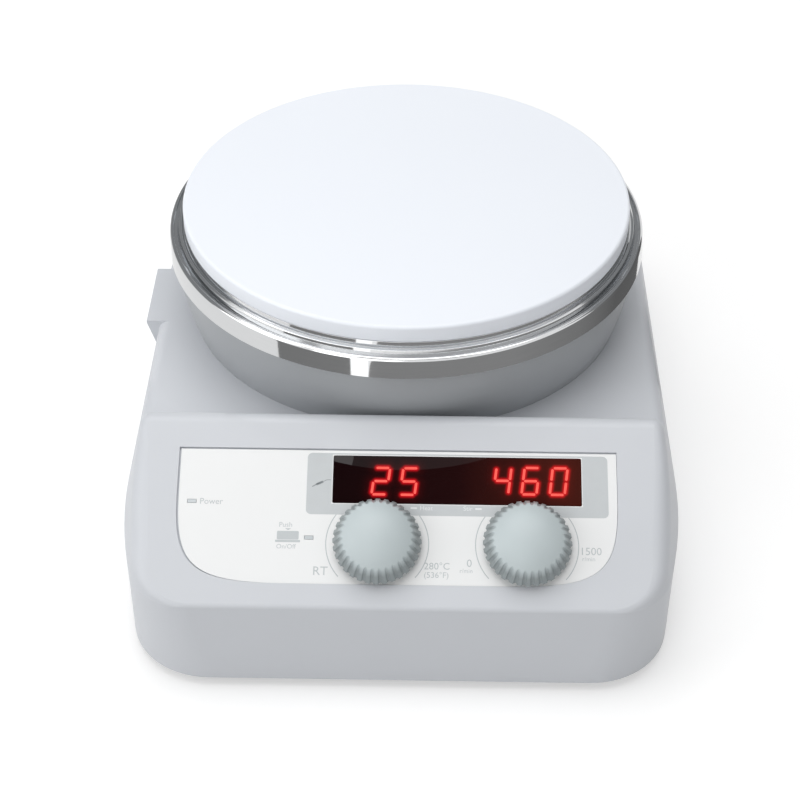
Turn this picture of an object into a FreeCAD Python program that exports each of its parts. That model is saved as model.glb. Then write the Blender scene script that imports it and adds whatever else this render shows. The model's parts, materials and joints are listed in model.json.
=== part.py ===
"""Hotplate magnetic stirrer, in millimetres.

Frame: X to the right, Y to the back, Z up. The origin is the centre of the footprint, on the table.
The sloping fascia has its own frame: x to the right, s up the slope from the crease, lift out of the surface.
"""
import FreeCAD, Part
import math
import os

# Overall sizes
BODY_WIDTH = 150.0
BODY_DEPTH = 205.0
OVERALL_HEIGHT = 80.0
AXIS_FROM_FRONT = 114.6  # from the front wall to the axis of the round plate

# Housing moulding
FOOT_HEIGHT = 3.0
BELT_HEIGHT = 28.9  # the line where the walls start to lean inward
DECK_DROP = 34.5  # from the plate's top to the deck
SIDE_LEAN = 13.7  # degrees
FASCIA_SLOPE = 29.4  # degrees
FASCIA_LENGTH = 54.6  # from the crease to the sharp crest
CREASE_RISE = 0.7  # the fascia starts this far above the belt
WALL = 2.5
FRONT_CORNER_R = 16.0
BASE_CORNER_R = 22.0
REAR_CORNER_R = 33.0
SIDE_BOW_R = 146.0
SIDE_BOW_LENGTH = 50.0
CREASE_R = 1.4
SHOULDER_R = 5.0
DECK_EDGE_R = 3.4
CREST_R = 4.0
CREST_FOOT_R = 1.0
CREST_FOOT_GAP = 1.2  # from the collar to the foot of the crest
LIP_FRONT = 15.8  # ahead of the plate axis
LIP_REAR = 10.5  # behind it
LIP_EDGE = 0.8
LIP_DROP = 7.0  # from its edge down to where it meets the wall

# Fascia: printed sheet, display and knobs
SHEET_LEFT_MARGIN = 17.5  # from the widest part of the housing
SHEET_RIGHT_MARGIN = 19.0
SHEET_LOW = 6.4
SHEET_HIGH = 42.4
SHEET_THICK = 0.5
SHEET_SINK = 0.3  # the sheet lies this far below the fascia
SHEET_CORNER_X = 28.5
SHEET_CORNER_S = 23.6
SHEET_FULLNESS = 0.84
SHEET_GAP_LEFT = 0.5  # between the sheet and the edge of its recess
SHEET_GAP_TOP = 0.4
WINDOW_MARGIN = 41.4  # from the sheet's right edge to the middle of the window
WINDOW_S = 34.55
WINDOW_WIDTH = 64.4
WINDOW_DEPTH = 12.9
WINDOW_LEDGE = 2.0
WINDOW_LEDGE_THICK = 1.0
WINDOW_CORNER_R = 0.5
WINDOW_LEDGE_R = 1.0
DIGIT_PITCH = 7.3
DIGIT_BLOCK_DEPTH = 12.4
DIGIT_BLOCK_GAP = 0.2  # to the window
DIGIT_WELL = (5.8, 9.2, 0.5)
TEMPERATURE_DIGITS_SHIFT = -19.8  # from the middle of the window
SPEED_DIGITS_SHIFT = 15.4
KNOB_MARGINS = (61.8, 23.4)  # from the sheet's right edge
KNOB_S = 17.2
KNOB_R = 11.4
KNOB_TOP_R = 10.1
KNOB_HEIGHT = 8.0
KNOB_SHOULDER = 5.2  # from the crown down to where the fluted side ends
KNOB_EDGE = 1.0
KNOB_EDGE_BULGE = (0.41, 0.53)  # where the middle of the edge's curve lies, as parts of its width and height
KNOB_DOME = 3.4
KNOB_CROWN = 2.4  # from the crown down to the bore for the shaft
KNOB_LIFT = 2.0
KNOB_CAVITY_R = 8.0
KNOB_CAVITY_DEPTH = 4.0
KNOB_BOSS_R = 4.6
FLUTES = 32
FLUTE_R = 0.55
FLUTE_DEPTH = 0.4
KNOB_TRAVEL = 0.8
LAMP_FROM_SHEET_EDGE = 3.5
POWER_LAMP_S = 28.05
PUSH_LAMP_SHIFT = (-17.6, 1.4)  # from the left knob
LAMP_WIDTH = 2.2
LAMP_DEPTH = 0.9

# Encoders and control board
ENCODER_SIDE = 14.0
ENCODER_HEIGHT = 7.0
BUSHING_R = 3.5
BUSHING_TALL = 4.0
NUT_ACROSS = 10.0
NUT_THICK = 1.5
CODE_WHEEL_R = 5.5
CODE_WHEEL_THICK = 1.5
CODE_SLOTS = 20
CODE_SLOT_R = 0.35
SHAFT_R = 3.0
CONTROL_BOARD_MARGIN = 19.0
CONTROL_BOARD_LOW = 8.0
CONTROL_BOARD_HIGH = 46.5
BOARD_CORNER_R = 2.0
CHIP = (12.0, 12.0, 1.6)
CHIP_PLACE = (-6.6, 24.0)  # its lower left corner, from the middle of the window and the crease
CONNECTOR = (18.0, 8.0, 7.0)
CONNECTOR_PLACE = (-44.6, 24.0)
BOARD_THICK = 1.6
BOARD_BOSS_R = 3.0
BOARD_SCREW_R = 1.25
BOARD_SCREW_MARGINS = (25.0, 23.0)  # from the left and right of the housing
BOARD_SCREW_ROWS = (12.5, 42.5)
SCREW_TIP_GAP = 1.0

# Plate stack
PLATE_R = 63.4
PLATE_EDGE = 4.8
PLATE_EDGE_ROUND = 0.8
PLATE_PAD_R = 47.0
PLATE_PAD_THICK = 2.0
HEATER_OUTER_R = 46.0
HEATER_INNER_R = 16.0
HEATER_THICK = 3.0
INSULATION_THICK = 4.4
INSULATION_HOLE_R = 6.0
SHIELD_R = 57.0
SHIELD_THICK = 0.8
SHIELD_RIM = 5.0
POST_CIRCLE_R = 52.0
POST_R = 4.0
SPACER_R = 3.4
PLATE_SCREW_R = 2.0
PLATE_SCREW_BITE = 3.4
SENSOR_R = 2.5
CUTOUT_R = 4.4
CUTOUT_HEIGHT = 6.0
CUTOUT_CAP = 1.2
CUTOUT_ANGLE = 30.0
POST_COUNT = 3
POST_TURN = 90.0  # degrees, where the first one stands

# Collar and rim
COLLAR_BASE_R = 62.5
COLLAR_TOP_R = 66.3
COLLAR_BULGE = 0.75
COLLAR_WALL = 2.5
COLLAR_FOOT_WIDTH = 3.0
COLLAR_FOOT_THICK = 3.0
COLLAR_SCREW_R = 1.5
COLLAR_SCREW_COUNT = 3
COLLAR_SCREW_TURN = 30.0  # degrees
RIM_R = 68.0
RIM_TOP_R = 67.6
RIM_EDGE = 1.1
RIM_WALL = 0.8
RIM_INNER_R = 63.6
RIM_LOW_DROP = 8.5  # these drops are from the underside of the plate's edge
RIM_SEAT_DROP = 3.9
RIM_SHOULDER_DROP = 2.6
RIM_INNER_DROP = 1.6
RIM_STEPS = ((66.2, 2.5), (66.0, 1.9), (65.2, 1.8), (64.9, 1.2), (64.2, 1.1))  # radius and drop

# Stirring drive
DECK_HOLE_R = 38.0
BRACKET_R = 44.0
BRACKET_THICK = 2.0
BRACKET_SCREW_CIRCLE_R = 41.0
BRACKET_SCREW_R = 1.6
BRACKET_SCREW_COUNT = 4
BRACKET_SCREW_TURN = 45.0  # degrees
MOTOR_R = 26.0
MOTOR_WALL = 1.5
MOTOR_HEIGHT = 27.0
BEARING_R = 6.5
BEARING_INNER_R = 3.0
BEARING_THICK = 5.0
BEARING_BOSS_R = 8.5
STATOR_THICK = 14.0
STATOR_INNER_R = 15.0
STATOR_SLOTS = 6
STATOR_SLOT_R = 3.2
AIR_GAP = 0.5
MAGNET_SPAN = 44.0
MAGNET_R = 8.0
MAGNET_THICK = 5.0
CARRIER_THICK = 8.0
CARRIER_WALL = 2.0
CARRIER_GAP = 3.0  # to the heat shield above
CARRIER_HUB_R = 6.0
CARRIER_HUB_DROP = 5.0

# Base plate and power parts
BASE_THICK = 2.0
PILLAR_R = 4.0
PILLAR_MARGIN = 13.0  # from the widest part of the housing
PILLAR_FROM_FRONT = 24.0
PILLAR_FROM_REAR = 22.0
BASE_SCREW_R = 1.75
BASE_SCREW_LENGTH = 12.0
FOOT_R = 7.5
FOOT_TOP_R = 6.5
FOOT_MARGIN = 19.0
FOOT_FROM_FRONT = 38.0
FOOT_FROM_REAR = 34.0
VENT_COUNT = 7
VENT_PITCH = 8.0
VENT_WIDTH = 3.0
VENT_LENGTH = 34.0
VENT_END_R = 1.4
POWER_BOARD_MARGIN = 29.0
POWER_BOARD_DEPTH = 36.0
POWER_BOARD_TO_MOTOR = 5.0
POWER_BOARD_LIFT = 5.0
BOARD_PILLAR_R = 2.5
BOARD_EDGE = 4.0  # kept free round the parts on the board
SINK = (20.0, 2.0, 18.0)
SINK_FINS = 5
SINK_FIN = (1.5, 5.0)
TRANSFORMER = (30.0, 26.0, 18.0)
CAPACITOR_R = 6.0
CAPACITOR_HEIGHT = 19.0
BOARD_PART_GAP = 2.0
RELAY = (16.0, 12.0, 15.0)
FUSE_R = 2.6
FUSE_LENGTH = 20.0
FUSE_FROM_FRONT = 15.0
FUSE_CLIP = (4.0, 1.0)

# Rear panel
PANEL_Z = 17.0
PANEL_PART_R = 2.0
PANEL_PART_GAP = 4.0
INLET_FLANGE = (31.0, 22.0)
INLET_BODY = (27.6, 19.6)
INLET_RECESS = (24.5, 16.5)
INLET_RECESS_DEPTH = 14.5
INLET_CHAMFER = 3.5
INLET_DEPTH = 18.5
INLET_PINS = ((-7.0, -2.0), (0.0, 2.0), (7.0, -2.0))
INLET_PIN = (2.0, 4.0)
INLET_PIN_LENGTH = 9.3
INLET_TAB = 5.0
FLANGE_THICK = 1.6
SWITCH_FRAME = (23.0, 17.0)
SWITCH_BODY = (19.4, 13.0)
SWITCH_MOUTH = (16.6, 10.6)
SWITCH_DEPTH = 14.0
SWITCH_FLOOR = 2.5
ROCKER_GAP = 0.4
ROCKER_TILT = 6.0  # degrees to each side of level
ROCKER_PIVOT_DEPTH = 6.0  # from the frame's face to the pin
ROCKER_DISH = 1.2
ROCKER_PIN_R = 1.2
ROCKER_PIN_BITE = 1.0
ROCKER_TUCK = 2.2
ROCKER_END = (0.5, 1.0)
SOCKET_FLANGE_R = 9.0
SOCKET_BODY_R = 7.6
SOCKET_RECESS_R = 6.2
SOCKET_RECESS_DEPTH = 10.0
SOCKET_DEPTH = 13.0
SOCKET_PIN_R = 0.7
SOCKET_PIN_CIRCLE_R = 3.2
SOCKET_PIN_LENGTH = 4.5
SOCKET_TAIL = 2.0
SOCKET_PINS = 4
ROD_MARGIN = 19.0
ROD_BEHIND_AXIS = 58.0
ROD_THREAD_R = 4.25
ROD_INSERT_R = 8.0
ROD_INSERT_LENGTH = 16.0
ROD_BOSS_WALL = 2.5

# Clearances
RUNNING_GAP = 0.05
FIT_GAP = 0.1
SEAT_GAP = 0.3
SCREW_HEAD = (1.9, 1.4)  # width and height of a round head, by the shank's radius

# Places worked out from the sizes above
FRONT_Y = -BODY_DEPTH / 2
REAR_Y = BODY_DEPTH / 2
AXIS_Y = FRONT_Y + AXIS_FROM_FRONT
HALF_WIDTH = BODY_WIDTH / 2
DECK_HEIGHT = OVERALL_HEIGHT - DECK_DROP
LEAN_RATE = math.tan(math.radians(SIDE_LEAN))
SLOPE_COS = math.cos(math.radians(FASCIA_SLOPE))
SLOPE_SIN = math.sin(math.radians(FASCIA_SLOPE))
CREASE_Z = BELT_HEIGHT + CREASE_RISE
CREST_Y = FRONT_Y + FASCIA_LENGTH * SLOPE_COS
CREST_Z = CREASE_Z + FASCIA_LENGTH * SLOPE_SIN
CREST_FOOT_Y = AXIS_Y - COLLAR_BASE_R - CREST_FOOT_GAP
BASE_TOP = FOOT_HEIGHT + BASE_THICK
DECK_UNDER = DECK_HEIGHT - WALL
PLATE_UNDER = OVERALL_HEIGHT - PLATE_EDGE
PAD_UNDER = PLATE_UNDER - PLATE_PAD_THICK
HEATER_UNDER = PAD_UNDER - HEATER_THICK
SHIELD_TOP = HEATER_UNDER - INSULATION_THICK
SHIELD_UNDER = SHIELD_TOP - SHIELD_THICK
RIM_LOW = PLATE_UNDER - RIM_LOW_DROP
RIM_SEAT = PLATE_UNDER - RIM_SEAT_DROP
RIM_SHOULDER = PLATE_UNDER - RIM_SHOULDER_DROP
CARRIER_TOP = SHIELD_UNDER - CARRIER_GAP
SHEET_TOP = -SHEET_SINK
SHEET_UNDER = SHEET_TOP - SHEET_THICK
BOARD_TOP = -WALL - ENCODER_HEIGHT
BOARD_UNDER = BOARD_TOP - BOARD_THICK
BRACKET_UNDER = DECK_UNDER - BRACKET_THICK
MOTOR_UNDER = BRACKET_UNDER - MOTOR_HEIGHT
KNOB_TOP = KNOB_LIFT + KNOB_HEIGHT
CODE_WHEEL_LOW = BOARD_TOP + ENCODER_HEIGHT / 3
SHAFT_LOW = CODE_WHEEL_LOW - SEAT_GAP
STATOR_LOW = MOTOR_UNDER + (MOTOR_HEIGHT - STATOR_THICK) / 2
SHEET_LEFT = SHEET_LEFT_MARGIN - HALF_WIDTH
SHEET_RIGHT = HALF_WIDTH - SHEET_RIGHT_MARGIN
WINDOW_X = SHEET_RIGHT - WINDOW_MARGIN
TEMPERATURE_DIGITS_X = WINDOW_X + TEMPERATURE_DIGITS_SHIFT
SPEED_DIGITS_X = WINDOW_X + SPEED_DIGITS_SHIFT
KNOB_X = (SHEET_RIGHT - KNOB_MARGINS[0], SHEET_RIGHT - KNOB_MARGINS[1])
LAMP_PLACES = (
    (SHEET_LEFT + LAMP_FROM_SHEET_EDGE, POWER_LAMP_S),
    (KNOB_X[0] + PUSH_LAMP_SHIFT[0], KNOB_S + PUSH_LAMP_SHIFT[1]),
)
INLET_X = SWITCH_FRAME[0] / 2 + SOCKET_FLANGE_R + PANEL_PART_GAP  # the three parts stand centred
SWITCH_X = INLET_X - (INLET_FLANGE[0] + SWITCH_FRAME[0]) / 2 - PANEL_PART_GAP
SOCKET_X = SWITCH_X - SWITCH_FRAME[0] / 2 - SOCKET_FLANGE_R - PANEL_PART_GAP
ROD_X = ROD_MARGIN - HALF_WIDTH
ROD_Y = AXIS_Y + ROD_BEHIND_AXIS
PANEL_FACE = REAR_Y + FLANGE_THICK
ROCKER_PIVOT_Y = PANEL_FACE - ROCKER_PIVOT_DEPTH
POWER_BOARD_HALF = HALF_WIDTH - POWER_BOARD_MARGIN
POWER_BOARD_REAR = AXIS_Y - MOTOR_R - POWER_BOARD_TO_MOTOR
POWER_BOARD_FRONT = POWER_BOARD_REAR - POWER_BOARD_DEPTH
POWER_BOARD_LOW = BASE_TOP + POWER_BOARD_LIFT
POWER_BOARD_TOP = POWER_BOARD_LOW + BOARD_THICK
TRANSFORMER_X = BOARD_EDGE - POWER_BOARD_HALF
CAPACITOR_X = TRANSFORMER_X + TRANSFORMER[0] + BOARD_PART_GAP + CAPACITOR_R
FUSE_X = CAPACITOR_X + CAPACITOR_R + BOARD_PART_GAP
FASCIA = FreeCAD.Placement(
    FreeCAD.Vector(0, FRONT_Y, CREASE_Z),
    FreeCAD.Rotation(FreeCAD.Vector(1, 0, 0), FASCIA_SLOPE),
)
BOARD_SCREW_PLACES = [
    (x, s)
    for x in (BOARD_SCREW_MARGINS[0] - HALF_WIDTH, HALF_WIDTH - BOARD_SCREW_MARGINS[1])
    for s in BOARD_SCREW_ROWS
]
PILLAR_PLACES = [
    (side * (HALF_WIDTH - PILLAR_MARGIN), y)
    for side in (-1, 1)
    for y in (FRONT_Y + PILLAR_FROM_FRONT, REAR_Y - PILLAR_FROM_REAR)
]
FOOT_PLACES = [
    (side * (HALF_WIDTH - FOOT_MARGIN), y)
    for side in (-1, 1)
    for y in (FRONT_Y + FOOT_FROM_FRONT, REAR_Y - FOOT_FROM_REAR)
]


def ring_places(radius, count, turn):
    """Places round the plate axis at even steps, the first one turned by so many degrees."""
    angles = [math.radians(turn + i * 360.0 / count) for i in range(count)]
    return [(radius * math.cos(a), AXIS_Y + radius * math.sin(a)) for a in angles]


POST_PLACES = ring_places(POST_CIRCLE_R, POST_COUNT, POST_TURN)
COLLAR_SCREW_PLACES = ring_places(COLLAR_BASE_R - COLLAR_WALL, COLLAR_SCREW_COUNT, COLLAR_SCREW_TURN)
BRACKET_SCREW_PLACES = ring_places(BRACKET_SCREW_CIRCLE_R, BRACKET_SCREW_COUNT, BRACKET_SCREW_TURN)


def vec(x, y, z):
    return FreeCAD.Vector(x, y, z)


def cylinder(radius, height, x, y, z):
    return Part.makeCylinder(radius, height, vec(x, y, z))


def tube(outer_r, inner_r, height, x, y, z):
    return cylinder(outer_r, height, x, y, z).cut(cylinder(inner_r, height, x, y, z))


def box(x0, x1, y0, y1, z0, z1):
    return Part.makeBox(x1 - x0, y1 - y0, z1 - z0, vec(x0, y0, z0))


def rounded_box(x0, x1, y0, y1, z0, z1, radius):
    """A box with its four upright edges rounded."""
    block = box(x0, x1, y0, y1, z0, z1)
    upright = [e for e in block.Edges if abs(e.Vertexes[0].Z - e.Vertexes[-1].Z) > (z1 - z0) / 2]
    return block.makeFillet(radius, upright)


def polar(radius, degrees, x=0.0, y=None):
    """A place on a circle round the plate axis, or round the point given."""
    angle = math.radians(degrees)
    return x + radius * math.cos(angle), (AXIS_Y if y is None else y) + radius * math.sin(angle)


def round_screw(radius, length, x, y, z, way=1):
    """A screw with a round head whose seat is at z; its shank goes up, or down when way is -1."""
    head_r, head_tall = [radius * size for size in SCREW_HEAD]
    turn = vec(0, 0, way)
    head = Part.makeCylinder(head_r, head_tall, vec(x, y, z - way * head_tall), turn)
    return head.fuse(Part.makeCylinder(radius, length, vec(x, y, z), turn))


def outline_face(steps):
    """A face from its first point and steps: a point for a line, or a middle and an end for an arc."""
    edges = []
    here = steps[0]
    for step in steps[1:] + [steps[0]]:
        if isinstance(step, tuple):
            edges.append(Part.Arc(here, step[0], step[1]).toShape())
            here = step[1]
        elif step.distanceToPoint(here) > 1e-6:
            edges.append(Part.LineSegment(here, step).toShape())
            here = step
    return Part.Face(Part.Wire(edges))


def turned(steps, x=0.0, y=None):
    """A solid turned about the upright axis at x, y from (radius, height) steps."""
    centre = vec(x, AXIS_Y if y is None else y, 0)

    def place(p):
        return vec(centre.x + p[0], centre.y, p[1])

    path = [(place(s[0]), place(s[1])) if isinstance(s[0], tuple) else place(s) for s in steps]
    return outline_face(path).revolve(centre, vec(0, 0, 1), 360)


def on_fascia(shape):
    shape = shape.copy()
    shape.Placement = FASCIA.multiply(shape.Placement)
    return shape


def group(solids):
    return Part.makeCompound(solids)


def write(name, shape):
    shape.exportStep("parts/" + name + ".step")


def plan_wire(inset, corner_r, z):
    """The housing seen from above: straight front and rear, bowed sides and round corners."""
    bow = vec(HALF_WIDTH - SIDE_BOW_R, FRONT_Y + SIDE_BOW_LENGTH, z)
    corner_y = FRONT_Y + corner_r
    reach = math.sqrt((SIDE_BOW_R - corner_r) ** 2 - (corner_y - bow.y) ** 2)
    corner = vec(bow.x + reach, corner_y, z)
    rear = vec(HALF_WIDTH - REAR_CORNER_R, REAR_Y - REAR_CORNER_R, z)
    turn = math.atan2(corner.y - bow.y, corner.x - bow.x)

    def on_arc(centre, radius, angle):
        return centre + vec(math.cos(angle), math.sin(angle), 0) * (radius - inset)

    right = [
        on_arc(corner, corner_r, -math.pi / 2),
        on_arc(corner, corner_r, (turn - math.pi / 2) / 2),
        on_arc(corner, corner_r, turn),
        on_arc(bow, SIDE_BOW_R, turn / 2),
        on_arc(bow, SIDE_BOW_R, 0),
        on_arc(rear, REAR_CORNER_R, 0),
        on_arc(rear, REAR_CORNER_R, math.pi / 4),
        on_arc(rear, REAR_CORNER_R, math.pi / 2),
    ]
    left = [vec(-p.x, p.y, p.z) for p in right]
    edges = [
        Part.Arc(right[0], right[1], right[2]),
        Part.Arc(right[2], right[3], right[4]),
        Part.LineSegment(right[4], right[5]),
        Part.Arc(right[5], right[6], right[7]),
        Part.LineSegment(right[7], left[7]),
        Part.Arc(left[7], left[6], left[5]),
        Part.LineSegment(left[5], left[4]),
        Part.Arc(left[4], left[3], left[2]),
        Part.Arc(left[2], left[1], left[0]),
        Part.LineSegment(left[0], right[0]),
    ]
    return Part.Wire([e.toShape() for e in edges])


def crossing(p, p_way, q, q_way):
    """Where two lines in the side view cross."""
    det = p_way[0] * q_way[1] - p_way[1] * q_way[0]
    t = ((q[0] - p[0]) * q_way[1] - (q[1] - p[1]) * q_way[0]) / det
    return p[0] + t * p_way[0], p[1] + t * p_way[1]


def roof_points(inset):
    """Side view of the top surfaces, each moved inward by the inset: low front, crest, foot, rear."""
    back = (CREST_FOOT_Y - CREST_Y, DECK_HEIGHT - CREST_Z)
    back_length = math.hypot(*back)
    fascia = (FRONT_Y + inset * SLOPE_SIN, CREASE_Z - inset * SLOPE_COS)
    slope = (SLOPE_COS, SLOPE_SIN)
    back_point = (CREST_FOOT_Y + inset * back[1] / back_length, DECK_HEIGHT - inset * back[0] / back_length)
    deck = (REAR_Y, DECK_HEIGHT - inset)
    crest = crossing(fascia, slope, back_point, back)
    foot = crossing(back_point, back, deck, (1.0, 0.0))
    low = (fascia[0] - BODY_DEPTH * slope[0], fascia[1] - BODY_DEPTH * slope[1])
    return low, crest, foot, (REAR_Y + WALL, DECK_HEIGHT - inset)


def blend_arc(before, corner, after, radius):
    """Start, middle and end of an arc that rounds the corner."""
    to_before = before - corner
    to_after = after - corner
    to_before.normalize()
    to_after.normalize()
    half = math.acos(to_before.dot(to_after)) / 2
    middle_way = to_before + to_after
    middle_way.normalize()
    run = radius / math.tan(half)
    middle = corner + middle_way * (radius / math.sin(half) - radius)
    return corner + to_before * run, middle, corner + to_after * run


def roof_prism(inset, rounded):
    """Everything below the top surfaces, as wide as the housing."""
    low, crest, foot, rear = [vec(-BODY_WIDTH, y, z) for y, z in roof_points(inset)]
    steps = [low]
    if rounded:
        for before, corner, after, radius in ((low, crest, foot, CREST_R), (crest, foot, rear, CREST_FOOT_R)):
            start, middle, end = blend_arc(before, corner, after, radius)
            steps += [start, (middle, end)]
    else:
        steps += [crest, foot]
    steps += [rear, vec(-BODY_WIDTH, rear.y, low.z)]
    return outline_face(steps).extrude(vec(2 * BODY_WIDTH, 0, 0))


def housing_form(inset, bottom, rounded):
    """The housing as a solid block, or the space inside it when inset by the wall."""
    top = CREST_Z + WALL
    base = plan_wire(inset, BASE_CORNER_R, bottom)
    belt = plan_wire(inset, FRONT_CORNER_R, BELT_HEIGHT)
    upper = plan_wire(inset + (top - BELT_HEIGHT) * LEAN_RATE, FRONT_CORNER_R, top)
    skirt = Part.makeLoft([base, belt], True, True)
    shoulders = Part.makeLoft([belt, upper], True, True).common(roof_prism(inset, rounded))
    return skirt.fuse(shoulders).removeSplitter()


def shoulder_radius(y):
    """Edge radius along the top edges: tight at the crease, full on the shoulders, less on the deck."""
    stops = (
        (FRONT_Y + CREASE_RISE, CREASE_R),
        (FRONT_Y + FRONT_CORNER_R - CREST_R, SHOULDER_R),
        (CREST_Y - 2 * CREST_R, DECK_EDGE_R),
    )
    for (y0, r0), (y1, r1) in zip(stops, stops[1:]):
        if y <= y0:
            return r0
        if y < y1:
            return r0 + (r1 - r0) * (y - y0) / (y1 - y0)
    return stops[-1][1]


def face_normal(face):
    u0, u1, v0, v1 = face.ParameterRange
    return face.normalAt((u0 + u1) / 2, (v0 + v1) / 2)


def soften_top(body):
    """Rounds the edges between the leaning walls and the top surfaces."""
    wall_rise = math.sin(math.radians(SIDE_LEAN))
    specs = []
    for number, edge in enumerate(body.Edges, 1):
        normals = [face_normal(f) for f in body.ancestorsOfType(edge, Part.Face)]
        roofs = [n for n in normals if abs(n.x) < 1e-6 and n.z > 1.1 * wall_rise]
        walls = [n for n in normals if 1e-6 < n.z < 1.1 * wall_rise]
        if len(roofs) == 1 and len(walls) == 1:
            ends = [shoulder_radius(edge.valueAt(t).y) for t in (edge.FirstParameter, edge.LastParameter)]
            specs.append((number, ends[0], ends[1]))
    document = FreeCAD.newDocument("shoulders")
    sharp = document.addObject("Part::Feature", "sharp")
    sharp.Shape = body
    soft = document.addObject("Part::Fillet", "soft")
    soft.Base = sharp
    soft.Edges = specs
    document.recompute()
    result = soft.Shape.Solids[0].copy()
    FreeCAD.closeDocument("shoulders")
    return result


def sheet_face(lift, gap=0.0, gap_left=0.0, gap_top=0.0):
    """The printed sheet's outline, or that of its recess: square above, with two soft corners below."""
    left, right = SHEET_LEFT - gap_left, SHEET_RIGHT + gap
    low, high = SHEET_LOW - gap, SHEET_HIGH + gap_top

    def corner(x, way):
        run_x, run_s = SHEET_CORNER_X * way, SHEET_CORNER_S
        curve = Part.BezierCurve()
        curve.setPoles([
            vec(x, low + run_s, lift),
            vec(x, low + run_s * (1 - SHEET_FULLNESS), lift),
            vec(x + run_x * (1 - SHEET_FULLNESS), low, lift),
            vec(x + run_x, low, lift),
        ])
        return curve.toShape()

    edges = [
        Part.makeLine(vec(left, high, lift), vec(left, low + SHEET_CORNER_S, lift)),
        corner(left, 1),
        Part.makeLine(vec(left + SHEET_CORNER_X, low, lift), vec(right - SHEET_CORNER_X, low, lift)),
        corner(right, -1),
        Part.makeLine(vec(right, low + SHEET_CORNER_S, lift), vec(right, high, lift)),
        Part.makeLine(vec(right, high, lift), vec(left, high, lift)),
    ]
    return Part.Face(Part.Wire(Part.__sortEdges__(edges)))


def window_block(grow, low, high, radius):
    half_x, half_s = WINDOW_WIDTH / 2 + grow, WINDOW_DEPTH / 2 + grow
    return rounded_box(
        WINDOW_X - half_x, WINDOW_X + half_x, WINDOW_S - half_s, WINDOW_S + half_s, low, high, radius
    )


def lamp_blocks(grow, low, high):
    half_x, half_s = LAMP_WIDTH / 2 + grow, LAMP_DEPTH / 2 + grow
    return [box(x - half_x, x + half_x, s - half_s, s + half_s, low, high) for x, s in LAMP_PLACES]


def fascia_openings(low, high):
    """Cuts through the fascia for the window, the bushings and the lamps, in the fascia frame."""
    cuts = [window_block(FIT_GAP, low, high, WINDOW_CORNER_R)]
    cuts += [cylinder(BUSHING_R + FIT_GAP, high - low, x, KNOB_S, low) for x in KNOB_X]
    cuts += lamp_blocks(FIT_GAP, low, high)
    return cuts


def panel_cut(centre_x, size, depth_in):
    """A cut through the rear wall, size wide and high."""
    return box(
        centre_x - size[0] / 2 - FIT_GAP,
        centre_x + size[0] / 2 + FIT_GAP,
        REAR_Y - depth_in,
        REAR_Y + WALL,
        PANEL_Z - size[1] / 2 - FIT_GAP,
        PANEL_Z + size[1] / 2 + FIT_GAP,
    )


def lip():
    """The finger lip on the left edge of the deck."""
    front = AXIS_Y - LIP_FRONT
    inner = -HALF_WIDTH + 2 * SHOULDER_R
    low = DECK_HEIGHT - LIP_EDGE - LIP_DROP
    steps = [
        vec(inner, front, DECK_HEIGHT),
        vec(-HALF_WIDTH, front, DECK_HEIGHT),
        vec(-HALF_WIDTH, front, DECK_HEIGHT - LIP_EDGE),
        vec(-HALF_WIDTH + (low - BELT_HEIGHT) * LEAN_RATE, front, low),
        vec(inner, front, low),
    ]
    return outline_face(steps).extrude(vec(0, LIP_FRONT + LIP_REAR, 0))


def housing_bosses(block):
    """Screw pillars, board bosses and the boss of the rod insert, cut to the housing's shape."""
    bosses = [cylinder(PILLAR_R, CREST_Z, x, y, BASE_TOP) for x, y in PILLAR_PLACES]
    board_boss = -BOARD_TOP - WALL / 2
    bosses += [on_fascia(cylinder(BOARD_BOSS_R, board_boss, x, s, BOARD_TOP)) for x, s in BOARD_SCREW_PLACES]
    boss_r = ROD_INSERT_R + ROD_BOSS_WALL
    boss_low = DECK_HEIGHT - ROD_INSERT_LENGTH - ROD_BOSS_WALL
    bosses.append(cylinder(boss_r, DECK_HEIGHT - boss_low, ROD_X, ROD_Y, boss_low))
    return [b.common(block) for b in bosses]


def deck_holes():
    """The big hole under the plate and the screw holes round it."""
    depth = DECK_HEIGHT - DECK_UNDER
    cuts = [cylinder(DECK_HOLE_R, depth, 0, AXIS_Y, DECK_UNDER)]
    for places, hole in (
        (POST_PLACES, PLATE_SCREW_R),
        (COLLAR_SCREW_PLACES, COLLAR_SCREW_R),
        (BRACKET_SCREW_PLACES, BRACKET_SCREW_R),
    ):
        cuts += [cylinder(hole + FIT_GAP, depth, x, y, DECK_UNDER) for x, y in places]
    insert_low = DECK_HEIGHT - ROD_INSERT_LENGTH
    cuts.append(cylinder(ROD_INSERT_R + RUNNING_GAP, ROD_INSERT_LENGTH, ROD_X, ROD_Y, insert_low))
    return cuts


def upper_housing():
    block = soften_top(housing_form(0.0, FOOT_HEIGHT, True))
    space = housing_form(WALL, FOOT_HEIGHT, False)
    shell = block.fuse(lip()).cut(space).fuse(housing_bosses(block))
    recess = sheet_face(SHEET_UNDER, FIT_GAP, SHEET_GAP_LEFT, SHEET_GAP_TOP)
    cuts = [on_fascia(recess.extrude(vec(0, 0, WALL)))]
    cuts += [on_fascia(c) for c in fascia_openings(-WALL - FIT_GAP, 0.0)]
    cuts += [cylinder(BASE_SCREW_R + FIT_GAP, BASE_SCREW_LENGTH, x, y, BASE_TOP) for x, y in PILLAR_PLACES]
    for x, s in BOARD_SCREW_PLACES:
        cuts.append(on_fascia(cylinder(BOARD_SCREW_R + FIT_GAP, ENCODER_HEIGHT, x, s, BOARD_TOP)))
    cuts += [panel_cut(INLET_X, INLET_BODY, 2 * WALL), panel_cut(SWITCH_X, SWITCH_BODY, 2 * WALL)]
    cuts.append(rear_cylinder(SOCKET_BODY_R + FIT_GAP, SOCKET_X, -2 * WALL, WALL))
    cuts += deck_holes()
    return shell.cut(cuts).removeSplitter()


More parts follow.
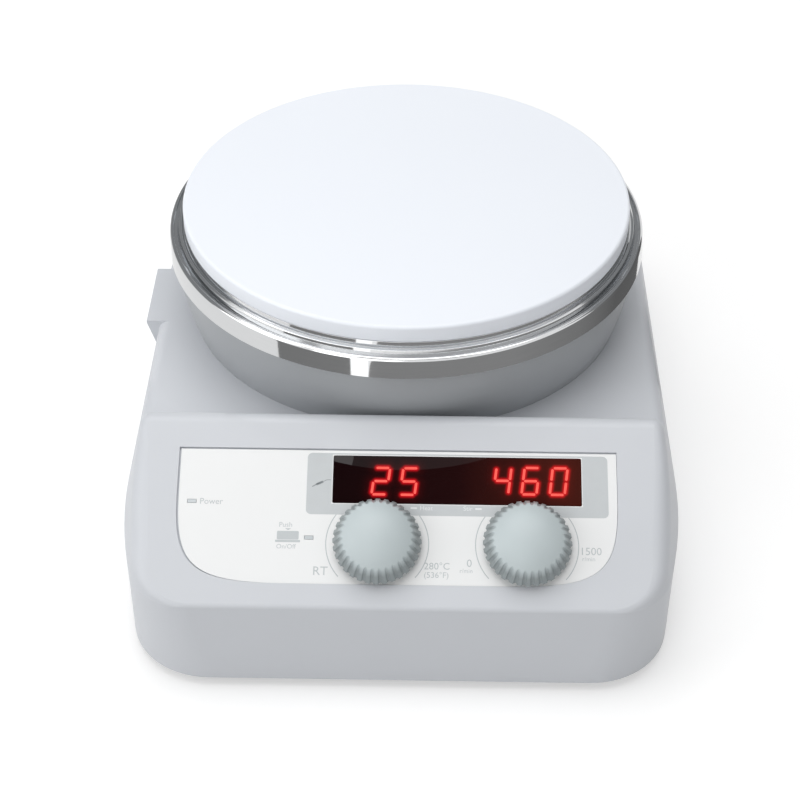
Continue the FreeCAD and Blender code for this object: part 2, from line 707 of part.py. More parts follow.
def rear_cylinder(radius, x, y0, y1):
    """A cylinder along Y at panel height, from y0 to y1 measured outward from the rear wall."""
    return Part.makeCylinder(radius, y1 - y0, vec(x, REAR_Y + y0, PANEL_Z), vec(0, 1, 0))


def base_plate():
    """The bottom cover, recessed into the housing, with vents and countersunk screw holes."""
    face = Part.Face(plan_wire(WALL + SEAT_GAP, BASE_CORNER_R, FOOT_HEIGHT))
    plate = face.extrude(vec(0, 0, BASE_THICK))
    cuts = []
    for x, y in PILLAR_PLACES:
        cuts.append(cylinder(BASE_SCREW_R + FIT_GAP, BASE_THICK, x, y, FOOT_HEIGHT))
        cuts.append(screw_head(BASE_SCREW_R, x, y, FOOT_HEIGHT, FIT_GAP))
    y0, y1 = AXIS_Y - VENT_LENGTH / 2, AXIS_Y + VENT_LENGTH / 2
    for i in range(VENT_COUNT):
        x0 = (i - (VENT_COUNT - 1) / 2) * VENT_PITCH - VENT_WIDTH / 2
        cuts.append(rounded_box(x0, x0 + VENT_WIDTH, y0, y1, FOOT_HEIGHT, BASE_TOP, VENT_END_R))
    return plate.cut(cuts)


def screw_head(radius, x, y, z, grow=0.0):
    """A countersunk head that opens downward at height z."""
    return Part.makeCone(2 * radius + grow, radius + grow, radius, vec(x, y, z), vec(0, 0, 1))


def base_screws():
    shank = BASE_THICK + BASE_SCREW_LENGTH - FIT_GAP
    return group([
        screw_head(BASE_SCREW_R, x, y, FOOT_HEIGHT).fuse(cylinder(BASE_SCREW_R, shank, x, y, FOOT_HEIGHT))
        for x, y in PILLAR_PLACES
    ])


def rubber_feet():
    steps = [(0, 0), (FOOT_TOP_R, 0), (FOOT_R, FOOT_HEIGHT), (0, FOOT_HEIGHT)]
    return group([turned(steps, x, y) for x, y in FOOT_PLACES])


def fascia_sheet():
    """The printed sheet that lies in the fascia's recess."""
    sheet = sheet_face(SHEET_UNDER).extrude(vec(0, 0, SHEET_THICK))
    return on_fascia(sheet.cut(fascia_openings(SHEET_UNDER, SHEET_TOP)))


def display_window():
    """The dark red filter, with a ledge behind the wall."""
    low = -WALL - WINDOW_LEDGE_THICK
    pane = window_block(0.0, low, SHEET_TOP, WINDOW_CORNER_R)
    ledge = window_block(WINDOW_LEDGE, low, -WALL, WINDOW_LEDGE_R)
    return on_fascia(pane.fuse(ledge).removeSplitter())


def digit_block(centre_x, digits):
    """A moulded block with one shallow well for each digit."""
    half_x = digits * DIGIT_PITCH / 2
    top = -WALL - WINDOW_LEDGE_THICK - DIGIT_BLOCK_GAP
    s0, s1 = WINDOW_S - DIGIT_BLOCK_DEPTH / 2, WINDOW_S + DIGIT_BLOCK_DEPTH / 2
    block = box(centre_x - half_x, centre_x + half_x, s0, s1, BOARD_TOP, top)
    wells = []
    wide, tall, deep = DIGIT_WELL
    low = WINDOW_S - tall / 2
    for i in range(digits):
        left = centre_x - half_x + (i + 0.5) * DIGIT_PITCH - wide / 2
        wells.append(box(left, left + wide, low, low + tall, top - deep, top))
    return on_fascia(block.cut(wells))


def lamp_pipes():
    return on_fascia(group(lamp_blocks(0.0, BOARD_TOP, SHEET_TOP)))


def control_board():
    """The circuit board behind the fascia, with its chip and connector."""
    half = HALF_WIDTH - CONTROL_BOARD_MARGIN
    low, high = CONTROL_BOARD_LOW, CONTROL_BOARD_HIGH
    board = rounded_box(-half, half, low, high, BOARD_UNDER, BOARD_TOP, BOARD_CORNER_R)
    hole_r = BOARD_SCREW_R + FIT_GAP
    holes = [cylinder(hole_r, BOARD_THICK, x, s, BOARD_UNDER) for x, s in BOARD_SCREW_PLACES]
    parts = []
    for (shift, s), (wide, high, thick) in ((CHIP_PLACE, CHIP), (CONNECTOR_PLACE, CONNECTOR)):
        x = WINDOW_X + shift
        parts.append(box(x, x + wide, s, s + high, BOARD_UNDER - thick, BOARD_UNDER))
    return on_fascia(board.cut(holes).fuse(parts))


def board_screws():
    length = BOARD_THICK + ENCODER_HEIGHT - SCREW_TIP_GAP
    screws = [round_screw(BOARD_SCREW_R, length, x, s, BOARD_UNDER) for x, s in BOARD_SCREW_PLACES]
    return on_fascia(group(screws))


def encoder_body(x):
    """The fixed part of a rotary encoder: case, chamber for the code wheel and threaded bushing."""
    half = ENCODER_SIDE / 2
    case = box(x - half, x + half, KNOB_S - half, KNOB_S + half, BOARD_TOP, -WALL)
    bushing = cylinder(BUSHING_R, BUSHING_TALL, x, KNOB_S, -WALL)
    chamber_tall = CODE_WHEEL_THICK + 2 * SEAT_GAP
    chamber = cylinder(CODE_WHEEL_R + SEAT_GAP, chamber_tall, x, KNOB_S, CODE_WHEEL_LOW - SEAT_GAP)
    bore_low = SHAFT_LOW - KNOB_TRAVEL - SEAT_GAP
    bore = cylinder(SHAFT_R + RUNNING_GAP, BUSHING_TALL - BOARD_TOP, x, KNOB_S, bore_low)
    return on_fascia(case.fuse(bushing).cut([chamber, bore]))


def encoder_nuts():
    nuts = []
    for x in KNOB_X:
        corners = [polar(NUT_ACROSS / math.sqrt(3), i * 60.0, x, KNOB_S) for i in range(6)]
        hexagon = outline_face([vec(cx, cs, SHEET_TOP) for cx, cs in corners]).extrude(vec(0, 0, NUT_THICK))
        nuts.append(hexagon.cut(cylinder(BUSHING_R + RUNNING_GAP, NUT_THICK, x, KNOB_S, SHEET_TOP)))
    return on_fascia(group(nuts))


def code_wheel(x):
    """A slotted disc that turns with the knob; the shaft slides through it when pressed."""
    wheel = cylinder(CODE_WHEEL_R, CODE_WHEEL_THICK, x, KNOB_S, CODE_WHEEL_LOW)
    cuts = [cylinder(SHAFT_R + RUNNING_GAP, CODE_WHEEL_THICK, x, KNOB_S, CODE_WHEEL_LOW)]
    for i in range(CODE_SLOTS):
        hx, hs = polar(CODE_WHEEL_R, i * 360.0 / CODE_SLOTS, x, KNOB_S)
        cuts.append(cylinder(CODE_SLOT_R, CODE_WHEEL_THICK, hx, hs, CODE_WHEEL_LOW))
    return on_fascia(wheel.cut(cuts))


def knob_shaft(x):
    top = KNOB_TOP - KNOB_CROWN - FIT_GAP
    return on_fascia(cylinder(SHAFT_R, top - SHAFT_LOW, x, KNOB_S, SHAFT_LOW))


def knob(x):
    """A domed control knob with a fluted side, hollow underneath round a boss for the shaft."""
    side_top = KNOB_TOP - KNOB_SHOULDER
    face_r, face_z = KNOB_TOP_R - KNOB_EDGE, KNOB_TOP - KNOB_DOME
    dome_r = (face_r ** 2 + KNOB_DOME ** 2) / (2 * KNOB_DOME)
    crown = (face_r / 2, KNOB_TOP - dome_r + math.sqrt(dome_r ** 2 - (face_r / 2) ** 2))
    steps = [
        (0, KNOB_LIFT),
        (KNOB_R, KNOB_LIFT),
        (KNOB_TOP_R, side_top),
        ((KNOB_TOP_R - KNOB_EDGE_BULGE[0] * KNOB_EDGE, side_top + KNOB_EDGE_BULGE[1] * (face_z - side_top)),
         (face_r, face_z)),
        (crown, (0, KNOB_TOP)),
    ]
    body = turned(steps, x, KNOB_S)
    cavity = tube(KNOB_CAVITY_R, KNOB_BOSS_R, KNOB_CAVITY_DEPTH, x, KNOB_S, KNOB_LIFT)
    boss_low = BUSHING_TALL - WALL + KNOB_TRAVEL + SEAT_GAP
    cuts = [cavity, cylinder(KNOB_CAVITY_R, boss_low - KNOB_LIFT, x, KNOB_S, KNOB_LIFT)]
    cuts.append(cylinder(SHAFT_R, KNOB_TOP - KNOB_CROWN - KNOB_LIFT, x, KNOB_S, KNOB_LIFT))
    lean = (KNOB_R - KNOB_TOP_R) / (side_top - KNOB_LIFT)
    start = KNOB_R + FLUTE_R - FLUTE_DEPTH + lean * FLUTE_R
    for i in range(FLUTES):
        angle = (i + 0.5) * 360.0 / FLUTES
        fx, fs = polar(start, angle, x, KNOB_S)
        along = vec(*polar(-lean, angle, 0.0, 0.0), 1.0)
        cuts.append(Part.makeCylinder(FLUTE_R, KNOB_HEIGHT, vec(fx, fs, KNOB_LIFT - FLUTE_R), along))
    return on_fascia(body.cut(cuts))


def collar():
    """The bowl-shaped collar that carries the steel rim, with a foot flange on the deck."""
    inner_base, inner_top = COLLAR_BASE_R - COLLAR_WALL, RIM_INNER_R
    middle = ((COLLAR_BASE_R + COLLAR_TOP_R) / 2 + COLLAR_BULGE, (DECK_HEIGHT + RIM_LOW) / 2)
    foot_r = inner_base - COLLAR_FOOT_WIDTH
    foot_top = DECK_HEIGHT + COLLAR_FOOT_THICK
    steps = [
        (foot_r, DECK_HEIGHT),
        (COLLAR_BASE_R, DECK_HEIGHT),
        (middle, (COLLAR_TOP_R, RIM_LOW)),
        (COLLAR_TOP_R, RIM_SEAT),
        (inner_top, RIM_SEAT),
        (inner_top, RIM_LOW),
        ((middle[0] - COLLAR_WALL, middle[1]), (inner_base, foot_top)),
        (foot_r, foot_top),
    ]
    depth = COLLAR_FOOT_THICK - SEAT_GAP
    cuts = [cylinder(COLLAR_SCREW_R + FIT_GAP, depth, x, y, DECK_HEIGHT) for x, y in COLLAR_SCREW_PLACES]
    return turned(steps).cut(cuts)


def collar_screws():
    length = WALL + COLLAR_FOOT_THICK - 2 * SEAT_GAP
    return group([round_screw(COLLAR_SCREW_R, length, x, y, DECK_UNDER) for x, y in COLLAR_SCREW_PLACES])


def steel_rim():
    """The polished rim: an outer band with a stepped top that leads in under the plate."""
    bend = RIM_EDGE * (1 - math.sqrt(0.5))
    steps = [
        (RIM_R, RIM_LOW),
        (RIM_TOP_R, RIM_SHOULDER - RIM_EDGE),
        ((RIM_TOP_R - bend, RIM_SHOULDER - bend), (RIM_TOP_R - RIM_EDGE, RIM_SHOULDER)),
    ]
    steps += [(radius, PLATE_UNDER - drop) for radius, drop in RIM_STEPS]
    steps += [
        (RIM_INNER_R, PLATE_UNDER - RIM_INNER_DROP),
        (RIM_INNER_R, RIM_SEAT),
        (RIM_TOP_R - RIM_WALL, RIM_SEAT),
        (RIM_R - RIM_WALL, RIM_LOW),
    ]
    return turned(steps)


def work_plate():
    """The coated plate, with a raised pad below for the heater and blind screw holes."""
    r, top, e = PLATE_R, OVERALL_HEIGHT, PLATE_EDGE_ROUND
    bend = e * (1 - math.sqrt(0.5))
    steps = [
        (0, PAD_UNDER),
        (PLATE_PAD_R, PAD_UNDER),
        (PLATE_PAD_R, PLATE_UNDER),
        (r - e / 2, PLATE_UNDER),
        ((r - bend / 2, PLATE_UNDER + bend / 2), (r, PLATE_UNDER + e / 2)),
        (r, top - e),
        ((r - bend, top - bend), (r - e, top)),
        (0, top),
    ]
    hole_r = PLATE_SCREW_R + RUNNING_GAP
    cuts = [cylinder(hole_r, PLATE_SCREW_BITE, x, y, PLATE_UNDER) for x, y in POST_PLACES]
    return turned(steps).cut(cuts)


def heating_element():
    return tube(HEATER_OUTER_R, HEATER_INNER_R, HEATER_THICK, 0, AXIS_Y, HEATER_UNDER)


def insulation_disc():
    return tube(HEATER_OUTER_R, INSULATION_HOLE_R, INSULATION_THICK, 0, AXIS_Y, SHIELD_TOP)


def heat_shield():
    """A pressed steel dish under the heater."""
    inner = SHIELD_R - SHIELD_THICK
    steps = [
        (0, SHIELD_UNDER),
        (SHIELD_R, SHIELD_UNDER),
        (SHIELD_R, SHIELD_UNDER + SHIELD_RIM),
        (inner, SHIELD_UNDER + SHIELD_RIM),
        (inner, SHIELD_TOP),
        (0, SHIELD_TOP),
    ]
    cuts = [cylinder(PLATE_SCREW_R + FIT_GAP, SHIELD_THICK, x, y, SHIELD_UNDER) for x, y in POST_PLACES]
    return turned(steps).cut(cuts)


def at_posts(make):
    return group([make(x, y) for x, y in POST_PLACES])


def plate_posts():
    height = SHIELD_UNDER - DECK_HEIGHT
    return at_posts(lambda x, y: tube(POST_R, PLATE_SCREW_R + FIT_GAP, height, x, y, DECK_HEIGHT))


def ceramic_spacers():
    height = PLATE_UNDER - SHIELD_TOP
    return at_posts(lambda x, y: tube(SPACER_R, PLATE_SCREW_R + FIT_GAP, height, x, y, SHIELD_TOP))


def plate_screws():
    length = PLATE_UNDER + PLATE_SCREW_BITE - FIT_GAP - DECK_UNDER
    return at_posts(lambda x, y: round_screw(PLATE_SCREW_R, length, x, y, DECK_UNDER))


def plate_sensor():
    """The temperature probe, pressed between the shield and the plate."""
    return cylinder(SENSOR_R, PAD_UNDER - SHIELD_TOP, 0, AXIS_Y, SHIELD_TOP)


def thermal_cutout():
    x, y = polar((HEATER_OUTER_R + SHIELD_R - SHIELD_THICK) / 2, CUTOUT_ANGLE)
    case = cylinder(CUTOUT_R, CUTOUT_HEIGHT, x, y, SHIELD_TOP)
    return case.fuse(cylinder(CUTOUT_R - CUTOUT_CAP, CUTOUT_CAP, x, y, SHIELD_TOP + CUTOUT_HEIGHT))


def motor_bracket():
    """The plate that hangs the motor under the deck, with the seat of the upper bearing."""
    disc = cylinder(BRACKET_R, BRACKET_THICK, 0, AXIS_Y, BRACKET_UNDER)
    seat_low = DECK_UNDER - BEARING_THICK
    boss = cylinder(BEARING_BOSS_R, DECK_UNDER - seat_low, 0, AXIS_Y, seat_low)
    cuts = [cylinder(BEARING_R, BEARING_THICK, 0, AXIS_Y, seat_low)]
    for x, y in BRACKET_SCREW_PLACES:
        cuts.append(cylinder(BRACKET_SCREW_R + FIT_GAP, BRACKET_THICK, x, y, BRACKET_UNDER))
    return disc.fuse(boss).cut(cuts)


def bracket_screws():
    length = WALL + BRACKET_THICK + SCREW_TIP_GAP
    places = BRACKET_SCREW_PLACES
    return group([round_screw(BRACKET_SCREW_R, length, x, y, DECK_HEIGHT, -1) for x, y in places])


def motor_can():
    """The motor's cup, open at the top where it meets the bracket, with the lower bearing seat."""
    cup = cylinder(MOTOR_R, MOTOR_HEIGHT, 0, AXIS_Y, MOTOR_UNDER)
    cup = cup.cut(cylinder(MOTOR_R - MOTOR_WALL, MOTOR_HEIGHT, 0, AXIS_Y, MOTOR_UNDER + MOTOR_WALL))
    seat = cylinder(BEARING_BOSS_R, BEARING_THICK, 0, AXIS_Y, MOTOR_UNDER + MOTOR_WALL)
    return cup.fuse(seat).cut(cylinder(BEARING_R, BEARING_THICK, 0, AXIS_Y, MOTOR_UNDER + MOTOR_WALL))


def motor_bearings():
    lows = (MOTOR_UNDER + MOTOR_WALL, DECK_UNDER - BEARING_THICK)
    return group([tube(BEARING_R, BEARING_INNER_R + RUNNING_GAP, BEARING_THICK, 0, AXIS_Y, z) for z in lows])


def stator():
    """The laminated ring with its winding slots."""
    ring = tube(MOTOR_R - MOTOR_WALL, STATOR_INNER_R, STATOR_THICK, 0, AXIS_Y, STATOR_LOW)
    slots = []
    for i in range(STATOR_SLOTS):
        x, y = polar((STATOR_INNER_R + MOTOR_R - MOTOR_WALL) / 2, i * 360.0 / STATOR_SLOTS)
        slots.append(cylinder(STATOR_SLOT_R, STATOR_THICK, x, y, STATOR_LOW))
    return ring.cut(slots)


def rotor_core():
    core_r = STATOR_INNER_R - AIR_GAP
    return tube(core_r, SHAFT_R, STATOR_THICK - 2 * AIR_GAP, 0, AXIS_Y, STATOR_LOW + AIR_GAP)


def motor_shaft():
    low = MOTOR_UNDER + MOTOR_WALL + SEAT_GAP
    return cylinder(SHAFT_R, CARRIER_TOP - CARRIER_WALL - low, 0, AXIS_Y, low)


def magnet_carrier():
    """The moulded bar that swings the drive magnets under the plate."""
    half, z = MAGNET_SPAN / 2, CARRIER_TOP - CARRIER_THICK
    width = MAGNET_R + CARRIER_WALL
    bar = box(-half, half, AXIS_Y - width, AXIS_Y + width, z, CARRIER_TOP)
    ends = [cylinder(width, CARRIER_THICK, x, AXIS_Y, z) for x in (-half, half)]
    hub = cylinder(CARRIER_HUB_R, CARRIER_HUB_DROP, 0, AXIS_Y, z - CARRIER_HUB_DROP)
    body = bar.fuse(ends + [hub]).removeSplitter()
    pockets = [cylinder(MAGNET_R, MAGNET_THICK, x, AXIS_Y, CARRIER_TOP - MAGNET_THICK) for x in (-half, half)]
    bore = cylinder(SHAFT_R, CARRIER_THICK + CARRIER_HUB_DROP - CARRIER_WALL, 0, AXIS_Y, z - CARRIER_HUB_DROP)
    return body.cut(pockets + [bore])


def drive_magnets():
    half = MAGNET_SPAN / 2
    return group([
        cylinder(MAGNET_R, MAGNET_THICK, x, AXIS_Y, CARRIER_TOP - MAGNET_THICK) for x in (-half, half)
    ])


def power_board():
    """The mains circuit board, with a finned heat sink."""
    half, y0, y1 = POWER_BOARD_HALF, POWER_BOARD_FRONT, POWER_BOARD_REAR
    board = box(-half, half, y0, y1, POWER_BOARD_LOW, POWER_BOARD_TOP)
    wide, thick, tall = SINK
    fin_wide, fin_deep = SINK_FIN
    x0, x1 = half - BOARD_EDGE - wide, half - BOARD_EDGE
    back = y0 + BOARD_EDGE + thick
    sink = [box(x0, x1, back - thick, back, POWER_BOARD_TOP, POWER_BOARD_TOP + tall)]
    for i in range(SINK_FINS):
        x = x0 + i * (wide - fin_wide) / (SINK_FINS - 1)
        sink.append(box(x, x + fin_wide, back, back + fin_deep, POWER_BOARD_TOP, POWER_BOARD_TOP + tall))
    return board.fuse(sink)


def board_pillars():
    reach = POWER_BOARD_HALF - BOARD_EDGE
    rows = (POWER_BOARD_FRONT + BOARD_EDGE, POWER_BOARD_REAR - BOARD_EDGE)
    places = [(x, y) for x in (-reach, reach) for y in rows]
    return group([cylinder(BOARD_PILLAR_R, POWER_BOARD_LIFT, x, y, BASE_TOP) for x, y in places])


def transformer():
    wide, deep, tall = TRANSFORMER
    x, y = TRANSFORMER_X, POWER_BOARD_FRONT + BOARD_EDGE
    return rounded_box(x, x + wide, y, y + deep, POWER_BOARD_TOP, POWER_BOARD_TOP + tall, BOARD_CORNER_R)


def relay():
    wide, deep, tall = RELAY
    x, y = POWER_BOARD_HALF - BOARD_EDGE, POWER_BOARD_REAR - BOARD_EDGE
    return box(x - wide, x, y - deep, y, POWER_BOARD_TOP, POWER_BOARD_TOP + tall)


def capacitors():
    first = POWER_BOARD_FRONT + BOARD_EDGE + CAPACITOR_R
    rows = (first, first + 2 * CAPACITOR_R + BOARD_PART_GAP)
    return group([cylinder(CAPACITOR_R, CAPACITOR_HEIGHT, CAPACITOR_X, y, POWER_BOARD_TOP) for y in rows])


def board_fuse():
    """A glass fuse held by a clip at each end."""
    clip_wide, clip_floor = FUSE_CLIP
    y = POWER_BOARD_FRONT + FUSE_FROM_FRONT
    middle = POWER_BOARD_TOP + FUSE_R + clip_floor
    glass = Part.makeCylinder(FUSE_R, FUSE_LENGTH, vec(FUSE_X, y, middle), vec(1, 0, 0))
    clips = [
        box(x, x + clip_wide, y - FUSE_R, y + FUSE_R, POWER_BOARD_TOP, middle)
        for x in (FUSE_X, FUSE_X + FUSE_LENGTH - clip_wide)
    ]
    return glass.fuse(clips)


def panel_block(x, size, y0, y1, radius=0.0):
    """A block on the rear panel, size wide and high, with its corners rounded when a radius is given."""
    wide, tall = size
    block = box(x - wide / 2, x + wide / 2, y0, y1, PANEL_Z - tall / 2, PANEL_Z + tall / 2)
    if radius:
        inward = [e for e in block.Edges if abs(e.Vertexes[0].Y - e.Vertexes[-1].Y) > (y1 - y0) / 2]
        block = block.makeFillet(radius, inward)
    return block


def mains_inlet():
    """The appliance inlet: flange, body and a recess with two cut corners."""
    half_x, half_z = INLET_RECESS[0] / 2, INLET_RECESS[1] / 2
    floor = PANEL_FACE - INLET_RECESS_DEPTH
    flange = panel_block(INLET_X, INLET_FLANGE, REAR_Y, PANEL_FACE, PANEL_PART_R)
    body = panel_block(INLET_X, INLET_BODY, PANEL_FACE - INLET_DEPTH, REAR_Y)
    cut = INLET_CHAMFER
    steps = [
        vec(INLET_X + x, floor, PANEL_Z + z)
        for x, z in (
            (-half_x, half_z),
            (half_x, half_z),
            (half_x, cut - half_z),
            (half_x - cut, -half_z),
            (cut - half_x, -half_z),
            (-half_x, cut - half_z),
        )
    ]
    recess = outline_face(steps).extrude(vec(0, INLET_RECESS_DEPTH, 0))
    return flange.fuse(body).removeSplitter().cut(recess)


def inlet_pins():
    """The three blades of the inlet, which run through its floor to the tabs behind."""
    front = PANEL_FACE - INLET_RECESS_DEPTH + INLET_PIN_LENGTH
    back = PANEL_FACE - INLET_DEPTH - INLET_TAB
    pins = []
    for x, z in INLET_PINS:
        pin = panel_block(INLET_X + x, INLET_PIN, back, front)
        pin.translate(vec(0, 0, z))
        pins.append(pin)
    return pins


def switch_frame():
    """The power switch's frame, with a mouth for the rocker and bearings for its pin."""
    back = PANEL_FACE - SWITCH_DEPTH
    flange = panel_block(SWITCH_X, SWITCH_FRAME, REAR_Y, PANEL_FACE, PANEL_PART_R)
    body = panel_block(SWITCH_X, SWITCH_BODY, back, REAR_Y)
    mouth = panel_block(SWITCH_X, SWITCH_MOUTH, back + SWITCH_FLOOR, PANEL_FACE)
    bearing = rocker_pin(RUNNING_GAP, ROCKER_PIN_BITE + FIT_GAP)
    return flange.fuse(body).removeSplitter().cut([mouth, bearing])


def rocker_pin(grow, bite):
    """The rocker's pin, which goes past the mouth by the bite at each end."""
    half = SWITCH_MOUTH[1] / 2 + bite
    return cylinder(ROCKER_PIN_R + grow, 2 * half, SWITCH_X, ROCKER_PIVOT_Y, PANEL_Z - half)


def power_rocker():
    """The rocker, dished between its two ends, tilted to off on a pin across the mouth."""
    half_x = SWITCH_MOUTH[0] / 2 - ROCKER_GAP
    half_z = SWITCH_MOUTH[1] / 2 - ROCKER_GAP
    end_in, end_rise = ROCKER_END
    rim, root = PANEL_FACE - FIT_GAP, ROCKER_PIVOT_Y - ROCKER_PIVOT_DEPTH / 2
    tuck = half_x - ROCKER_TUCK

    def at(x, y):
        return vec(SWITCH_X + x, y, PANEL_Z - half_z)

    steps = [
        at(-tuck, root),
        at(tuck, root),
        at(half_x, ROCKER_PIVOT_Y + end_rise),
        at(half_x - end_in, rim),
        (at(0, rim - ROCKER_DISH), at(end_in - half_x, rim)),
        at(-half_x, ROCKER_PIVOT_Y + end_rise),
    ]
    body = outline_face(steps).extrude(vec(0, 0, 2 * half_z))
    rocker = body.fuse(rocker_pin(0.0, ROCKER_PIN_BITE))
    rocker.rotate(vec(SWITCH_X, ROCKER_PIVOT_Y, PANEL_Z), vec(0, 0, 1), -ROCKER_TILT)
    return rocker


def sensor_socket():
    """The round socket for an outside temperature probe."""
    ring = rear_cylinder(SOCKET_FLANGE_R, SOCKET_X, 0.0, FLANGE_THICK)
    body = rear_cylinder(SOCKET_BODY_R, SOCKET_X, FLANGE_THICK - SOCKET_DEPTH, 0.0)
    recess = rear_cylinder(SOCKET_RECESS_R, SOCKET_X, FLANGE_THICK - SOCKET_RECESS_DEPTH, FLANGE_THICK)
    return ring.fuse(body).removeSplitter().cut(recess)


def socket_pins():
    low = FLANGE_THICK - SOCKET_DEPTH - SOCKET_TAIL
    high = FLANGE_THICK - SOCKET_RECESS_DEPTH + SOCKET_PIN_LENGTH
    pins = []
    for i in range(SOCKET_PINS):
        pin = rear_cylinder(SOCKET_PIN_R, SOCKET_X + SOCKET_PIN_CIRCLE_R, low, high)
        pin.rotate(vec(SOCKET_X, 0, PANEL_Z), vec(0, 1, 0), (i + 0.5) * 360.0 / SOCKET_PINS)
        pins.append(pin)
    return pins


def rod_insert():
    """The threaded metal insert for a support rod, flush with the deck."""
    return tube(ROD_INSERT_R, ROD_THREAD_R, ROD_INSERT_LENGTH, ROD_X, ROD_Y, DECK_HEIGHT - ROD_INSERT_LENGTH)


def build():
    os.makedirs("parts", exist_ok=True)
    write("upper_housing", upper_housing())
    write("base_plate", base_plate())
    write("base_screws", base_screws())
    write("rubber_feet", rubber_feet())
    write("fascia_sheet", fascia_sheet())
    write("display_window", display_window())
    write("temperature_digits", digit_block(TEMPERATURE_DIGITS_X, 3))
    write("speed_digits", digit_block(SPEED_DIGITS_X, 4))
    write("lamp_pipes", lamp_pipes())
    write("control_board", control_board())
    write("board_screws", board_screws())
    write("encoder_nuts", encoder_nuts())
    for name, x in zip(("temperature", "speed"), KNOB_X):
        write(name + "_encoder", encoder_body(x))
        write(name + "_code_wheel", code_wheel(x))
        write(name + "_shaft", knob_shaft(x))
        write(name + "_knob", knob(x))
    write("collar", collar())
    write("collar_screws", collar_screws())
    write("steel_rim", steel_rim())
    write("work_plate", work_plate())
    write("heating_element", heating_element())
    write("insulation_disc", insulation_disc())
    write("heat_shield", heat_shield())
    write("plate_posts", plate_posts())
    write("ceramic_spacers", ceramic_spacers())
    write("plate_screws", plate_screws())
    write("plate_sensor", plate_sensor())
    write("thermal_cutout", thermal_cutout())
    write("motor_bracket", motor_bracket())
    write("bracket_screws", bracket_screws())
    write("motor_can", motor_can())
    write("motor_bearings", motor_bearings())
    write("stator", stator())
    write("rotor_core", rotor_core())
    write("motor_shaft", motor_shaft())
    write("magnet_carrier", magnet_carrier())
    write("drive_magnets", drive_magnets())
    write("power_board", power_board())
    write("board_pillars", board_pillars())
    write("transformer", transformer())
    write("relay", relay())
    write("capacitors", capacitors())
    write("board_fuse", board_fuse())
    pins = inlet_pins()
    write("mains_inlet", mains_inlet().cut(pins))
    write("inlet_pins", group(pins))
    write("switch_frame", switch_frame())
    write("power_rocker", power_rocker())
    contacts = socket_pins()
    write("sensor_socket", sensor_socket().cut(contacts))
    write("socket_pins", group(contacts))
    write("rod_insert", rod_insert())


build()
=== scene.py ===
"""Looks of a hotplate magnetic stirrer: its finishes, plate, rim, display window, lit digits and print."""
import json
import math

import bmesh
import bpy
from mathutils import Matrix, Vector


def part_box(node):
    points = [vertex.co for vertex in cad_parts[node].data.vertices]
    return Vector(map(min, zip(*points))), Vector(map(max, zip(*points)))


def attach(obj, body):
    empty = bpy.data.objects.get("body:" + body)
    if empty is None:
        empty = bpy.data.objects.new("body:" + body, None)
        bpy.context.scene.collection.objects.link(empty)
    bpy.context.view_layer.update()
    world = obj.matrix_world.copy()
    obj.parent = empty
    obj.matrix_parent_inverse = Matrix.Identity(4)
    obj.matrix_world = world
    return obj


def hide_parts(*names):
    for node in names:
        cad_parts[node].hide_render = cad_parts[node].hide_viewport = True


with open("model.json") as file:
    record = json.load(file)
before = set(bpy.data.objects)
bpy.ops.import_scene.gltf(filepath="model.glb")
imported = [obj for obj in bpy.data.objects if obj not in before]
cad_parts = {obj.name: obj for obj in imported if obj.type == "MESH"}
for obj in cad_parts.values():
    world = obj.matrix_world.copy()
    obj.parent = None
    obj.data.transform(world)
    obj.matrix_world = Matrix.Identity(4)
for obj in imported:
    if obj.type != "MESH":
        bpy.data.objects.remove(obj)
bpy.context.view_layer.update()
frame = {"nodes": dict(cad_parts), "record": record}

bl_info = {
    "name": "Hotplate stirrer looks",
    "version": (1, 0, 0),
    "blender": (4, 5, 0),
    "location": "View3D > Sidebar > Stirrer",
    "description": "Finishes and fine pieces of a bench hotplate stirrer, built round its packed frame",
    "category": "Object",
}

MM = 0.001
HOUSING = "housing"
PLATE_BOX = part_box("work_plate")
AXIS_Y = (PLATE_BOX[0].y + PLATE_BOX[1].y) / 2
FRONT_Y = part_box("upper_housing")[0].y
FINE_TURN = 256  # steps round a turned piece
PLATE_PAD_R = 47.0 * MM  # the thicker middle of the plate's underside
PLATE_STEP = 2.0 * MM  # how much thicker it is
PLATE_LOWER_ROUND = 0.4 * MM
WINDOW_LEDGE = 2.0 * MM  # part of the window that lies behind the sheet
CAPITAL = 0.7  # height of a capital in the built-in font, of its size

CAMERA_FROM_FRONT = Vector((4.79, -314.53, 355.04)) * MM  # from the middle of the housing's front edge
CAMERA_AZIMUTH, CAMERA_ELEVATION, CAMERA_ROLL = (math.radians(angle) for angle in (0.85, 39.27, 0.24))
CAMERA_LENS, CAMERA_SENSOR = 80.1, 36.0  # in millimetres, as Blender takes them

LAMP_TARGET = (0, 0, 0.04)
LAMPS = (  # name, place and side in metres, watts
    ("key_softbox", (-0.15, 0.12, 1.15), 1.1, 7.4),
    ("front_softbox", (-0.45, -1.2, 0.5), 0.9, 3.2),
    ("left_softbox", (-1.0, -0.35, 0.6), 0.7, 2.5),
)
SKY_ON_OBJECT = 0.42  # the world's light on the object, where 1 is white
FLOOR_REACH = 4.0
FLOOR_GREY = 0.69
FLOOR_WASH = 0.42  # light added to the floor where it is seen, so that it comes out white

